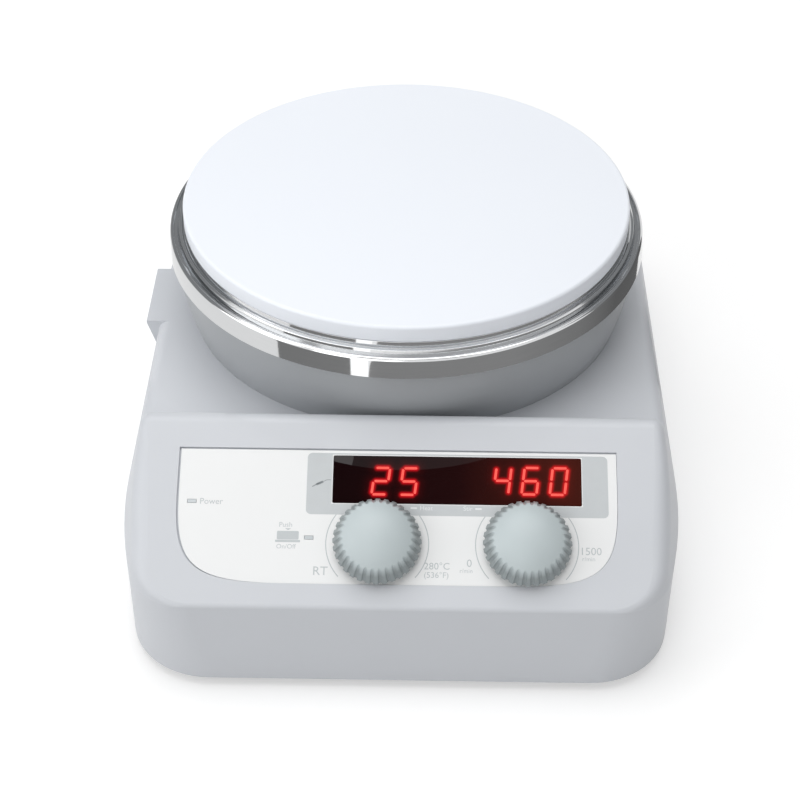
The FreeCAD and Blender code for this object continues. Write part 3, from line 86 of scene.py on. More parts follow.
STRIP_R = 82 * MM  # the cards that the rim's band mirrors
STRIP_LOW = 36 * MM
STRIPS = (  # round the rim: direction in degrees, height of the upper edge in millimetres, brightness
    ((-190.0, 72.0, 0.95), (-124.8, 72.0, 0.95)),
    ((-124.8, 72.0, 0.23), (-103.7, 72.0, 0.25)),
    ((-103.7, 72.0, 1.55), (-99.0, 72.0, 1.55)),
    (
        (-99.0, 58.0, 0.31),
        (-98.5, 64.0, 0.30),
        (-97.5, 68.0, 0.29),
        (-95.5, 71.0, 0.28),
        (-60.0, 72.0, 0.28),
        (-37.0, 74.0, 0.22),
        (-18.0, 84.0, 0.13),
        (5.5, 86.0, 0.13),
    ),
    ((5.5, 86.0, 0.95), (120.0, 86.0, 0.95)),
)
BACK_CARD_R = 0.9
BACK_CARD_LOW, BACK_CARD_TOP = -0.1, 1.1
FLAG_SIZE = (0.27, 0.12)  # the dark flag that the display window mirrors, across and deep
FLAG_DISTANCE = 0.45

RIM_PROFILE = (  # in from the rim's outside, up from its lower edge, and radius of the corner, in millimetres
    (0.0, 0.0, 0.12),
    (0.49, 5.9, 0.95),
    (1.55, 5.95, 0.12),
    (1.6, 4.9, 0.1),
    (2.6, 4.85, 0.15),
    (3.1, 6.85, 0.12),
    (3.8, 7.05, 0.12),
    (4.3, 6.6, 0.08),
    (4.55, 6.6, 0.05),
    (4.75, 8.4, 0.1),
    (5.5, 8.4, 0.0),
    (5.5, 4.6, 0.0),
    (1.2, 4.6, 0.0),
    (0.8, 0.0, 0.1),
)

DISPLAY_FIELD = (-24.4, 53.7, 24.9, 41.7, 1.3)  # left, right, low, high and corner radius on the fascia, mm
GREY_WORDS = (  # words, left end, foot and height on the fascia, mm
    ("RT", -22.2, 8.7, 2.3),
    ("280°C", 6.2, 10.6, 1.8),
    ("(536°F)", 6.2, 8.4, 1.5),
    ("0", 17.1, 11.4, 2.0),
    ("r/min", 15.3, 9.8, 1.1),
    ("1500", 46.0, 15.0, 2.0),
    ("r/min", 46.6, 13.4, 1.1),
    ("Power", -52.0, 27.3, 1.6),
    ("Push", -31.2, 21.4, 1.3),
    ("On/Off", -31.7, 15.6, 1.2),
)
WHITE_WORDS = (("Heat", 5.0, 26.4, 1.2), ("Stir", 16.2, 26.4, 1.2))
WHITE_DASHES = ((2.6, 4.3, 26.65, 27.15, 0.2), (19.3, 21.0, 26.65, 27.15, 0.2))  # as DISPLAY_FIELD
KNOB_SIGN = (  # head and foot, as DISPLAY_FIELD
    (-31.6, -26.0, 18.0, 20.3, 0.3),
    (-32.0, -25.6, 17.3, 17.9, 0.1),
)
PUSH_ARROW = ((-29.6, 21.0), (-28.8, 20.5), (-28.0, 21.0))
SCALE_START, SCALE_END = 222, -42  # the arc round a knob, in degrees from the right
PROBE_SIGN = (  # line points and width, mm
    (((-23.0, 32.4), (-21.6, 33.2), (-20.4, 33.7)), 0.24),
    (((-21.9, 33.0), (-20.2, 33.8)), 0.6),
    (((-20.4, 33.7), (-19.2, 34.3), (-18.2, 34.3)), 0.16),
)

DIGITS = (  # node, text, and shift up the fascia
    ("temperature_digits", " 25", -0.4 * MM),
    ("speed_digits", " 460", 0.15 * MM),
)
SEGMENTS = {"0": "abcdef", "2": "abged", "4": "fgbc", "5": "afgcd", "6": "afgedc"}
SEGMENT_GAP = 0.9  # free length at a segment's ends, in widths of a segment
DIGIT_SLANT = math.tan(math.radians(7.0))
GLOW_PITCH = 0.3 * MM  # steps of the window's mesh, which carries the glow
GLOW_NEAR, GLOW_FAR, GLOW_FAR_REACH = 0.75, 0.03, 4  # strengths, and how much further the far glow reaches

PAINTED_SHADE_LOW, PAINTED_SHADE_HIGH = 0.3, 0.6  # of a knob's height: where the painted shade on its skirt is darkest, and where it fades out as the dome begins
# painted shade: the skirt's colour is scaled by this where it is darkest
PAINTED_SKIRT_SHADE = 0.55


# Sizes and colours that a user would change


def length(name, text, default_mm):
    return bpy.props.FloatProperty(
        name=name, description=text, default=default_mm * MM, unit="LENGTH", precision=5
    )


def colour(name, text, hex_code):
    return bpy.props.FloatVectorProperty(
        name=name, description=text, default=from_hex(hex_code)[:3], size=3, min=0.0, max=1.0, subtype="COLOR"
    )


def from_hex(hex_code):
    """An sRGB hex colour as the linear RGBA that the shaders take."""
    parts = [int(hex_code[i : i + 2], 16) / 255 for i in (1, 3, 5)]
    linear = [c / 12.92 if c <= 0.04045 else ((c + 0.055) / 1.055) ** 2.4 for c in parts]
    return (*linear, 1.0)


class StirrerSizes(bpy.types.PropertyGroup):
    """Sizes of the pieces that are made here."""

    plate_edge_round: length("Plate edge", "Radius of the plate's upper edge", 0.9)
    ink: length("Ink", "Thickness of the printed ink", 0.015)
    digit_height: length("Digit height", "Height of the display's digits", 7.9)
    digit_width: length("Digit width", "Width of the display's digits", 4.5)
    segment: length("Segment", "Width of one lit segment", 0.64)
    glow: length("Glow", "Reach of the light round a lit segment", 0.42)
    window_line: length("Line round the window", "Width of bare sheet between window and grey field", 0.3)
    scale_radius: length("Scale radius", "Radius of the arc printed round each knob", 13.2)
    scale_line: length("Scale line", "Width of the arc printed round each knob", 0.25)


class StirrerColours(bpy.types.PropertyGroup):
    """Colours of the main finishes."""

    housing: colour("Housing", "Moulded housing", "#CED1D6")
    plate: colour("Plate", "Ceramic coating of the plate", "#F4F8FF")
    # painted shade: darker than the housing's plastic, for the shade that the collar lies in
    collar: colour("Collar", "Bowl-shaped collar", "#AAADB0")
    knob: colour("Knob", "Control knobs", "#C0CACC")
    sheet: colour("Sheet", "Printed sheet", "#EEEFEF")
    panel: colour("Panel", "Grey field round the display", "#C6CACC")
    print_grey: colour("Print", "Lettering and scales", "#C2C7C9")
    lit: colour("Lit segment", "Light of a lit segment", "#FF5A4C")


# Geometry helpers


def mesh_object(name, bm, body=HOUSING, smooth_degrees=30.0):
    """Makes an object from bm, smooth except at edges sharper than the angle, that rides on a body."""
    bmesh.ops.recalc_face_normals(bm, faces=bm.faces)
    mesh = bpy.data.meshes.new(name)
    bm.to_mesh(mesh)
    bm.free()
    mesh.polygons.foreach_set("use_smooth", [True] * len(mesh.polygons))
    mesh.set_sharp_from_angle(angle=math.radians(smooth_degrees))
    piece = bpy.data.objects.new(name, mesh)
    bpy.context.scene.collection.objects.link(piece)
    if body:
        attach(piece, body)
    return piece


def fascia_frame():
    """The sloping fascia's own frame: x right, y up the slope from the crease, z out of the surface."""
    record = frame["record"]
    turn = next(j for j in record["behaviour"]["joints"] if j["name"] == "temperature_turn")
    out = Vector(turn["axis"]).normalized()
    right = Vector((1, 0, 0))
    up = out.cross(right)
    on_surface = Vector(turn["pos_m"])
    crease = on_surface + up * ((FRONT_Y - on_surface.y) / up.y)
    crease.x = 0.0
    return Matrix((
        (right.x, up.x, out.x, crease.x),
        (right.y, up.y, out.y, crease.y),
        (right.z, up.z, out.z, crease.z),
        (0, 0, 0, 1),
    ))


FASCIA = fascia_frame()


def fascia_extent(node):
    """Lowest and highest corner of a node in the fascia's frame."""
    back = FASCIA.inverted()
    points = [back @ v.co for v in frame["nodes"][node].data.vertices]
    low = Vector([min(p[i] for p in points) for i in range(3)])
    high = Vector([max(p[i] for p in points) for i in range(3)])
    return low, high


def arc_points(centre, radius, start, end, count):
    """Points on an arc, in degrees from start to end."""
    angles = [math.radians(start + (end - start) * i / count) for i in range(count + 1)]
    return [(centre[0] + radius * math.cos(a), centre[1] + radius * math.sin(a)) for a in angles]


def softened(points, radii, steps=6):
    """A profile whose inner corners are rounded; radii has one value for each point."""
    result = []
    for i, (point, radius) in enumerate(zip(points, radii)):
        corner = Vector(point)
        if radius <= 0:
            result.append(tuple(corner))
            continue
        before = (Vector(points[i - 1]) - corner).normalized()
        after = (Vector(points[(i + 1) % len(points)]) - corner).normalized()
        half = before.angle(after) / 2
        run = radius / math.tan(half)
        centre = corner + (before + after).normalized() * (radius / math.sin(half))
        start, end = corner + before * run - centre, corner + after * run - centre
        sweep = start.angle_signed(end)
        for k in range(steps + 1):
            result.append(tuple(centre + Matrix.Rotation(-sweep * k / steps, 2) @ start))
    return result


def turned_mesh(profile, steps=FINE_TURN):
    """A closed solid turned about the plate's axis from (radius, height) points, with metres as UVs."""
    bm = bmesh.new()
    layer = bm.loops.layers.uv.new("Turned")
    run = [0.0]
    for a, b in zip(profile, profile[1:] + profile[:1]):
        run.append(run[-1] + math.hypot(b[0] - a[0], b[1] - a[1]))
    rings = []
    for radius, height in profile:
        if radius < 1e-6:
            rings.append([bm.verts.new((0, AXIS_Y, height))])
            continue
        ring = []
        for k in range(steps):
            angle = 2 * math.pi * k / steps
            x, y = radius * math.cos(angle), AXIS_Y + radius * math.sin(angle)
            ring.append(bm.verts.new((x, y, height)))
        rings.append(ring)
    count = len(profile)
    for i in range(count):
        low, high = rings[i], rings[(i + 1) % count]
        if len(low) == 1 and len(high) == 1:
            continue
        around = max(profile[i][0], profile[(i + 1) % count][0]) * 2 * math.pi
        for k in range(steps):
            n = (k + 1) % steps
            corners = [
                (low[k % len(low)], k, 0),
                (low[n % len(low)], k + 1, 0),
                (high[n % len(high)], k + 1, 1),
                (high[k % len(high)], k, 1),
            ]
            seen, kept = set(), []
            for vert, step, end in corners:
                if vert not in seen:
                    seen.add(vert)
                    kept.append((vert, step, end))
            face = bm.faces.new([c[0] for c in kept])
            for loop, (_, step, end) in zip(face.loops, kept):
                loop[layer].uv = (around * step / steps, run[i + end])
    return bm


def add_prism(bm, outline, low, high, hole=None):
    """Adds a thin solid on the fascia, or a frame when a hole with as many points is given."""
    count = len(outline)

    def ring(points, height):
        return [bm.verts.new(FASCIA @ Vector((p[0], p[1], height))) for p in points]

    outer_low, outer_high = ring(outline, low), ring(outline, high)
    for i in range(count):
        n = (i + 1) % count
        bm.faces.new((outer_low[i], outer_low[n], outer_high[n], outer_high[i]))
    if hole is None:
        bm.faces.new(outer_high)
        bm.faces.new(outer_low[::-1])
        return
    inner_low, inner_high = ring(hole, low), ring(hole, high)
    for i in range(count):
        n = (i + 1) % count
        bm.faces.new((inner_low[n], inner_low[i], inner_high[i], inner_high[n]))
        bm.faces.new((outer_high[i], outer_high[n], inner_high[n], inner_high[i]))
        bm.faces.new((outer_low[n], outer_low[i], inner_low[i], inner_low[n]))


def in_metres(values):
    return [value * MM for value in values]


def rounded_rectangle(x0, x1, y0, y1, radius, steps=5):
    centres = (
        (x1 - radius, y1 - radius, 0),
        (x0 + radius, y1 - radius, 90),
        (x0 + radius, y0 + radius, 180),
        (x1 - radius, y0 + radius, 270),
    )
    points = []
    for x, y, start in centres:
        points += arc_points((x, y), radius, start, start + 90, steps)
    return points


def stroke(points, width):
    """The outline of a line of even width along the points."""
    left, right = [], []
    for i, point in enumerate(points):
        before = Vector(points[max(i - 1, 0)])
        after = Vector(points[min(i + 1, len(points) - 1)])
        side = (after - before).normalized()
        side = Vector((-side.y, side.x)) * width / 2
        left.append(tuple(Vector(point) + side))
        right.append(tuple(Vector(point) - side))
    return left + right[::-1]


def add_text(bm, words, x, y, height, low, high):
    """Adds solid lettering whose lower left corner is at x, y on the fascia."""
    curve = bpy.data.curves.new(words, "FONT")
    curve.body = words
    curve.size = height / CAPITAL
    curve.resolution_u = 3
    curve.extrude = (high - low) / 2
    holder = bpy.data.objects.new(words, curve)
    bpy.context.scene.collection.objects.link(holder)
    bpy.context.view_layer.update()
    mesh = bpy.data.meshes.new_from_object(holder)
    mesh.transform(FASCIA @ Matrix.Translation((x, y, (low + high) / 2)))
    bm.from_mesh(mesh)
    bpy.data.meshes.remove(mesh)
    bpy.data.objects.remove(holder)
    bpy.data.curves.remove(curve)


# Material helpers


def add_node(tree, kind, settings=None, inputs=None):
    """Adds a shader node; each input is a value, or another node's output to link."""
    node = tree.nodes.new(kind)
    for name, value in (settings or {}).items():
        setattr(node, name, value)
    for name, value in (inputs or {}).items():
        if isinstance(value, bpy.types.NodeSocket):
            tree.links.new(value, node.inputs[name])
        else:
            node.inputs[name].default_value = value
    return node


def surface(name, base, roughness, metallic=0.0, ior=None):
    """A new material with its constant values on the shader; returns it with its tree and shader."""
    material = bpy.data.materials.new(name)
    material.use_nodes = True
    shader = material.node_tree.nodes["Principled BSDF"]
    shader.inputs["Base Color"].default_value = base
    shader.inputs["Roughness"].default_value = roughness
    shader.inputs["Metallic"].default_value = metallic
    if ior:
        shader.inputs["IOR"].default_value = ior
    material.diffuse_color = base
    return material, material.node_tree, shader


def mottle(tree, shader, base, spread, size, bump=0.0, grain=None, stretch=(1, 1, 1), source="Object"):
    """Varies the base colour over patches, with an optional bump of its own grain; sizes in metres."""
    where = add_node(tree, "ShaderNodeTexCoord").outputs[source]
    where = add_node(tree, "ShaderNodeMapping", inputs={"Vector": where, "Scale": stretch}).outputs["Vector"]
    patches = add_node(tree, "ShaderNodeTexNoise", inputs={"Vector": where, "Scale": 1 / size, "Detail": 4.0})
    dark = tuple(c * (1 - spread) for c in base[:3]) + (1.0,)
    light = tuple(min(1.0, c * (1 + spread)) for c in base[:3]) + (1.0,)
    mix = add_node(tree, "ShaderNodeMix", {"data_type": "RGBA"}, {"Factor": patches.outputs["Fac"]})
    mix.inputs[6].default_value = dark  # 6 and 7 are the two colours that it mixes
    mix.inputs[7].default_value = light
    tree.links.new(mix.outputs[2], shader.inputs["Base Color"])
    if bump:
        pattern = {"Vector": where, "Scale": 1 / grain, "Detail": 3.0}
        fine = add_node(tree, "ShaderNodeTexNoise", inputs=pattern)
        relief = add_node(
            tree, "ShaderNodeBump", inputs={"Height": fine.outputs["Fac"], "Distance": bump, "Strength": 1.0}
        )
        tree.links.new(relief.outputs["Normal"], shader.inputs["Normal"])
    return where


def seen_directly(tree):
    """1 for what the camera, a reflection or a look through glass shows, and 0 for the light it gives."""
    light_path = add_node(tree, "ShaderNodeLightPath")
    seen = light_path.outputs["Is Camera Ray"]
    for ray in ("Is Glossy Ray", "Is Transmission Ray"):
        either = {0: seen, 1: light_path.outputs[ray]}
        seen = add_node(tree, "ShaderNodeMath", {"operation": "MAXIMUM"}, either).outputs[0]
    return seen


def moulded_abs(colours):
    """Moulded ABS with a fine spark-eroded texture: a soft sheen that breaks up small reflections."""
    base = (*colours.housing, 1.0)
    material, tree, shader = surface("Moulded ABS, textured", base, 0.44, ior=1.54)
    # The real texture has a grain of about 0.1 mm. It is drawn coarser so that it shows.
    mottle(tree, shader, base, 0.012, 18 * MM, bump=0.012 * MM, grain=0.35 * MM)
    return material


def plain_finish(name, hex_code, roughness, metallic, bump, grain):
    """A finish for the smaller pieces, faintly mottled, with a grain in millimetres."""
    base = from_hex(hex_code)
    material, tree, shader = surface(name, base, roughness, metallic)
    mottle(tree, shader, base, 0.04, 4 * MM, bump * MM, grain * MM)
    return material


def ceramic_coating(colours):
    """White ceramic sprayed and fired on the plate: nearly matte, with a faint even stipple."""
    base = (*colours.plate, 1.0)
    material, tree, shader = surface("Fired ceramic coating, white", base, 0.42, ior=1.52)
    # Sprayed droplets are about 0.2 mm across, and are drawn coarser so that they show.
    mottle(tree, shader, base, 0.006, 30 * MM, bump=0.006 * MM, grain=0.5 * MM)
    return material


def collar_plastic(colours):
    """Moulded heat-resistant plastic: an even satin grey, made darker than the housing's by painted shade."""
    # Painted shade: the grey is set darker than the housing's plastic, for the shade that the collar lies in.
    base = (*colours.collar, 1.0)
    material, tree, shader = surface("Moulded PBT, satin", base, 0.40, ior=1.55)
    # The mould's grain is about 0.15 mm, and is drawn coarser so that it shows.
    mottle(tree, shader, base, 0.02, 14 * MM, bump=0.010 * MM, grain=0.4 * MM)
    return material


def knob_plastic(colours, painted_shade_low, painted_shade_high):
    """Moulded ABS, satin: soft broad highlights on the dome, and painted shade that darkens the skirt below
    the given heights.
    """
    base = (*colours.knob, 1.0)
    material, tree, shader = surface("Moulded ABS, satin", base, 0.46, ior=1.54)
    # The mould's grain is about 0.1 mm, and is drawn coarser so that it shows.
    mottle(tree, shader, base, 0.02, 6 * MM, bump=0.006 * MM, grain=0.25 * MM)
    # Painted shade: the colour is scaled down towards the knob's foot, darkest low on the skirt.
    tone = shader.inputs["Base Color"].links[0].from_socket
    place = add_node(tree, "ShaderNodeTexCoord").outputs["Object"]
    outward = FASCIA.to_3x3() @ Vector((0, 0, 1))
    lift = add_node(tree, "ShaderNodeVectorMath", {"operation": "DOT_PRODUCT"}, {0: place, 1: outward})
    foot = outward.dot(FASCIA.translation)
    skirt = add_node(
        tree,
        "ShaderNodeMapRange",
        inputs={
            "Value": lift.outputs["Value"],
            "From Min": foot + painted_shade_low,
            "From Max": foot + painted_shade_high,
            "To Min": PAINTED_SKIRT_SHADE,
            "To Max": 1.0,
        },
    )
    shaded = add_node(
        tree, "ShaderNodeVectorMath", {"operation": "SCALE"}, {0: tone, "Scale": skirt.outputs["Result"]}
    )
    tree.links.new(shaded.outputs["Vector"], shader.inputs["Base Color"])
    return material


def polished_steel():
    """Pressed stainless steel, polished on a turning mandrel: a mirror with fine marks round the rim."""
    base = from_hex("#D9DADB")
    material, tree, shader = surface("Stainless steel, polished", base, 0.07, metallic=1.0)
    where = mottle(tree, shader, base, 0.05, 1.0, stretch=(1 / 0.012, 1 / 0.00035, 1), source="UV")
    streaks = add_node(tree, "ShaderNodeTexNoise", inputs={"Vector": where, "Scale": 1.0, "Detail": 3.0})
    depth = {"Height": streaks.outputs["Fac"], "Distance": 0.0005 * MM, "Strength": 1.0}
    relief = add_node(tree, "ShaderNodeBump", inputs=depth)
    tree.links.new(relief.outputs["Normal"], shader.inputs["Normal"])
    rough = add_node(
        tree, "ShaderNodeMapRange", inputs={"Value": streaks.outputs["Fac"], "To Min": 0.05, "To Max": 0.12}
    )
    tree.links.new(rough.outputs["Result"], shader.inputs["Roughness"])
    return material


def printed_polyester(colours):
    """Polyester sheet, fine matte: flat white under the print."""
    base = (*colours.sheet, 1.0)
    material, tree, shader = surface("Polyester sheet, fine matte", base, 0.38, ior=1.57)
    mottle(tree, shader, base, 0.006, 12 * MM, bump=0.003 * MM, grain=0.2 * MM)
    return material


def screen_ink(name, base):
    """Screen-printed ink: flat, with a faint unevenness in its cover."""
    material, tree, shader = surface(name, base, 0.5, ior=1.5)
    mottle(tree, shader, base, 0.03, 2.5 * MM)
    return material


def tinted_acrylic(left, right):
    """Dark red acrylic filter: glossy, with a painted reflection that makes it browner to the right, and lit
    round the digits.
    """
    base = from_hex("#17090B")
    material, tree, shader = surface("Acrylic filter, dark red", base, 0.05, ior=1.49)
    # Painted reflection: the base colour runs from near black at the left to brown at the right, with cloudy
    # patches.
    place = add_node(tree, "ShaderNodeTexCoord").outputs["Object"]
    x = add_node(tree, "ShaderNodeSeparateXYZ", inputs={0: place}).outputs["X"]
    across = add_node(tree, "ShaderNodeMapRange", inputs={"Value": x, "From Min": left, "From Max": right})
    clouds = {"Vector": place, "Scale": 1 / (9 * MM), "Detail": 2.0}
    cloud = add_node(tree, "ShaderNodeTexNoise", inputs=clouds)
    painted_reflection_blend = add_node(
        tree,
        "ShaderNodeMath",
        {"operation": "MULTIPLY_ADD"},
        {0: cloud.outputs["Fac"], 1: 0.12, 2: across.outputs["Result"]},
    )
    ramp = add_node(tree, "ShaderNodeValToRGB", inputs={"Fac": painted_reflection_blend.outputs[0]})
    ramp.color_ramp.elements[0].color = from_hex("#140709")
    ramp.color_ramp.elements[1].color = from_hex("#461C16")
    middle = ramp.color_ramp.elements.new(0.55)
    middle.color = from_hex("#220C0D")
    tree.links.new(ramp.outputs["Color"], shader.inputs["Base Color"])
    glow = add_node(tree, "ShaderNodeAttribute", {"attribute_name": "glow"})
    shader.inputs["Emission Color"].default_value = from_hex("#E8131F")
    tree.links.new(glow.outputs["Fac"], shader.inputs["Emission Strength"])
    return material


def lit_segment(colours):
    """Light of a red seven-segment digit through the filter, a little uneven in brightness over small
    patches.
    """
    base = (*colours.lit, 1.0)
    material, tree, shader = surface("Lit red segment", from_hex("#5A0A0C"), 0.4)
    place = add_node(tree, "ShaderNodeTexCoord").outputs["Object"]
    patches = {"Vector": place, "Scale": 1 / (1.2 * MM), "Detail": 1.0}
    grain = add_node(tree, "ShaderNodeTexNoise", inputs=patches)
    ramp = add_node(tree, "ShaderNodeValToRGB", inputs={"Fac": grain.outputs["Fac"]})
    ramp.color_ramp.elements[0].position = 0.3
    ramp.color_ramp.elements[0].color = tuple(c * 0.85 for c in base[:3]) + (1.0,)
    ramp.color_ramp.elements[1].position = 0.7
    ramp.color_ramp.elements[1].color = base
    tree.links.new(ramp.outputs["Color"], shader.inputs["Emission Color"])
    shader.inputs["Emission Strength"].default_value = 1.0
    return material


def dress(node, material):
    """Gives a CAD node one material."""
    mesh = frame["nodes"][node].data
    mesh.materials.clear()
    mesh.materials.append(material)


def dress_all(nodes, material):
    for node in nodes:
        dress(node, material)


# Pieces


class STIRRER_OT_housing(bpy.types.Operator):
    """Finishes the moulded housing, its base plate and feet"""

    bl_idname = "stirrer.housing"
    bl_label = "Housing and base"

    def execute(self, context):
        dress("upper_housing", moulded_abs(context.scene.stirrer_colours))
        dress("base_plate", plain_finish("Steel sheet, powder coated", "#4A4D50", 0.55, 0.0, 0.02, 0.3))
        dress("rubber_feet", plain_finish("Rubber, moulded", "#1B1B1C", 0.75, 0.0, 0.02, 0.4))
        return {"FINISHED"}


class STIRRER_OT_plate(bpy.types.Operator):
    """Makes the coated plate"""

    bl_idname = "stirrer.plate"
    bl_label = "Work plate"

    def execute(self, context):
        sizes = context.scene.stirrer_sizes
        low, high = PLATE_BOX
        radius = (high.x - low.x) / 2
        pad, under = PLATE_PAD_R, low.z + PLATE_STEP
        profile = softened(
            [(0, low.z), (pad, low.z), (pad, under), (radius, under), (radius, high.z), (0, high.z)],
            [0, 0, 0, PLATE_LOWER_ROUND, sizes.plate_edge_round, 0],
            8,
        )
        plate = mesh_object("coated_plate", turned_mesh(profile))
        plate.data.materials.append(ceramic_coating(context.scene.stirrer_colours))
        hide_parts("work_plate")
        return {"FINISHED"}


class STIRRER_OT_rim(bpy.types.Operator):
    """Makes the polished rim with its stepped top, and finishes the collar below it"""

    bl_idname = "stirrer.rim"
    bl_label = "Rim and collar"

    def execute(self, context):
        low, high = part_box("steel_rim")
        radius = (high.x - low.x) / 2
        places = [(radius - inward * MM, low.z + up * MM) for inward, up, _ in RIM_PROFILE]
        profile = softened(places, [corner * MM for _, _, corner in RIM_PROFILE], 8)
        rim = mesh_object("polished_rim", turned_mesh(profile), smooth_degrees=60)
        rim.data.materials.append(polished_steel())
        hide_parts("steel_rim")
        dress("collar", collar_plastic(context.scene.stirrer_colours))
        return {"FINISHED"}


class STIRRER_OT_fascia(bpy.types.Operator):
    """Finishes the printed sheet and adds its print"""

    bl_idname = "stirrer.fascia"
    bl_label = "Printed sheet"

    def execute(self, context):
        sizes, colours = context.scene.stirrer_sizes, context.scene.stirrer_colours
        dress("fascia_sheet", printed_polyester(colours))
        base = fascia_extent("fascia_sheet")[1].z
        top = base + sizes.ink
        window_low, window_high = fascia_extent("display_window")
        inset = WINDOW_LEDGE - sizes.window_line
        left, right = window_low.x + inset, window_high.x - inset
        foot, head = window_low.y + inset, window_high.y - inset
        hole = rounded_rectangle(left, right, foot, head, 0.1 * MM)
        panel = bmesh.new()
        add_prism(panel, rounded_rectangle(*in_metres(DISPLAY_FIELD)), base, top, hole)
        field = mesh_object("print_display_field", panel)
        field.data.materials.append(screen_ink("Screen ink, light grey", (*colours.panel, 1.0)))
        self.lettering(base, top, sizes, colours)
        return {"FINISHED"}

    def lettering(self, base, top, sizes, colours):
        grey = bmesh.new()
        for words, x, y, height in GREY_WORDS:
            add_text(grey, words, x * MM, y * MM, height * MM, base, top)
        field_low = DISPLAY_FIELD[2] * MM
        for knob in ("temperature_knob", "speed_knob"):
            low, high = fascia_extent(knob)
            centre = ((low.x + high.x) / 2, (low.y + high.y) / 2)
            upper = math.degrees(math.asin((field_low - centre[1]) / sizes.scale_radius))
            for start, end in ((SCALE_START, 180 - upper), (upper, SCALE_END)):
                line = arc_points(centre, sizes.scale_radius, start, end, 28)
                add_prism(grey, stroke(line, sizes.scale_line), base, top)
        for box in KNOB_SIGN:
            add_prism(grey, rounded_rectangle(*in_metres(box)), base, top)
        add_prism(grey, [in_metres(point) for point in PUSH_ARROW], base, top)
        self.printed("print_lettering", grey, "Screen ink, grey", (*colours.print_grey, 1.0))
        over = top + sizes.ink  # the signs on the grey field are printed over it
        probe = bmesh.new()
        for points, width in PROBE_SIGN:
            add_prism(probe, stroke([in_metres(point) for point in points], width * MM), top, over)
        self.printed("print_probe_sign", probe, "Screen ink, dark grey", from_hex("#8A9093"))
        white = bmesh.new()
        for words, x, y, height in WHITE_WORDS:
            add_text(white, words, x * MM, y * MM, height * MM, top, over)
        for box in WHITE_DASHES:
            add_prism(white, rounded_rectangle(*in_metres(box)), top, over)
        self.printed("print_white_words", white, "Screen ink, white", from_hex("#E8EAEB"))

    @staticmethod
    def printed(name, bm, ink, base_colour):
        mesh_object(name, bm).data.materials.append(screen_ink(ink, base_colour))


def segment_lines(sizes):
    """Centre lines of the seven segments in a digit's own frame, from its lower left corner."""
    half = sizes.segment / 2
    gap = sizes.segment * SEGMENT_GAP
    left, right = half, sizes.digit_width - half
    low, high = half, sizes.digit_height - half
    middle = (low + high) / 2
    return {
        "a": ((left + gap, high), (right - gap, high)),
        "b": ((right, high - gap), (right, middle + gap)),
        "c": ((right, middle - gap), (right, low + gap)),
        "d": ((left + gap, low), (right - gap, low)),
        "e": ((left, middle - gap), (left, low + gap)),
        "f": ((left, high - gap), (left, middle + gap)),
        "g": ((left + gap, middle), (right - gap, middle)),
    }


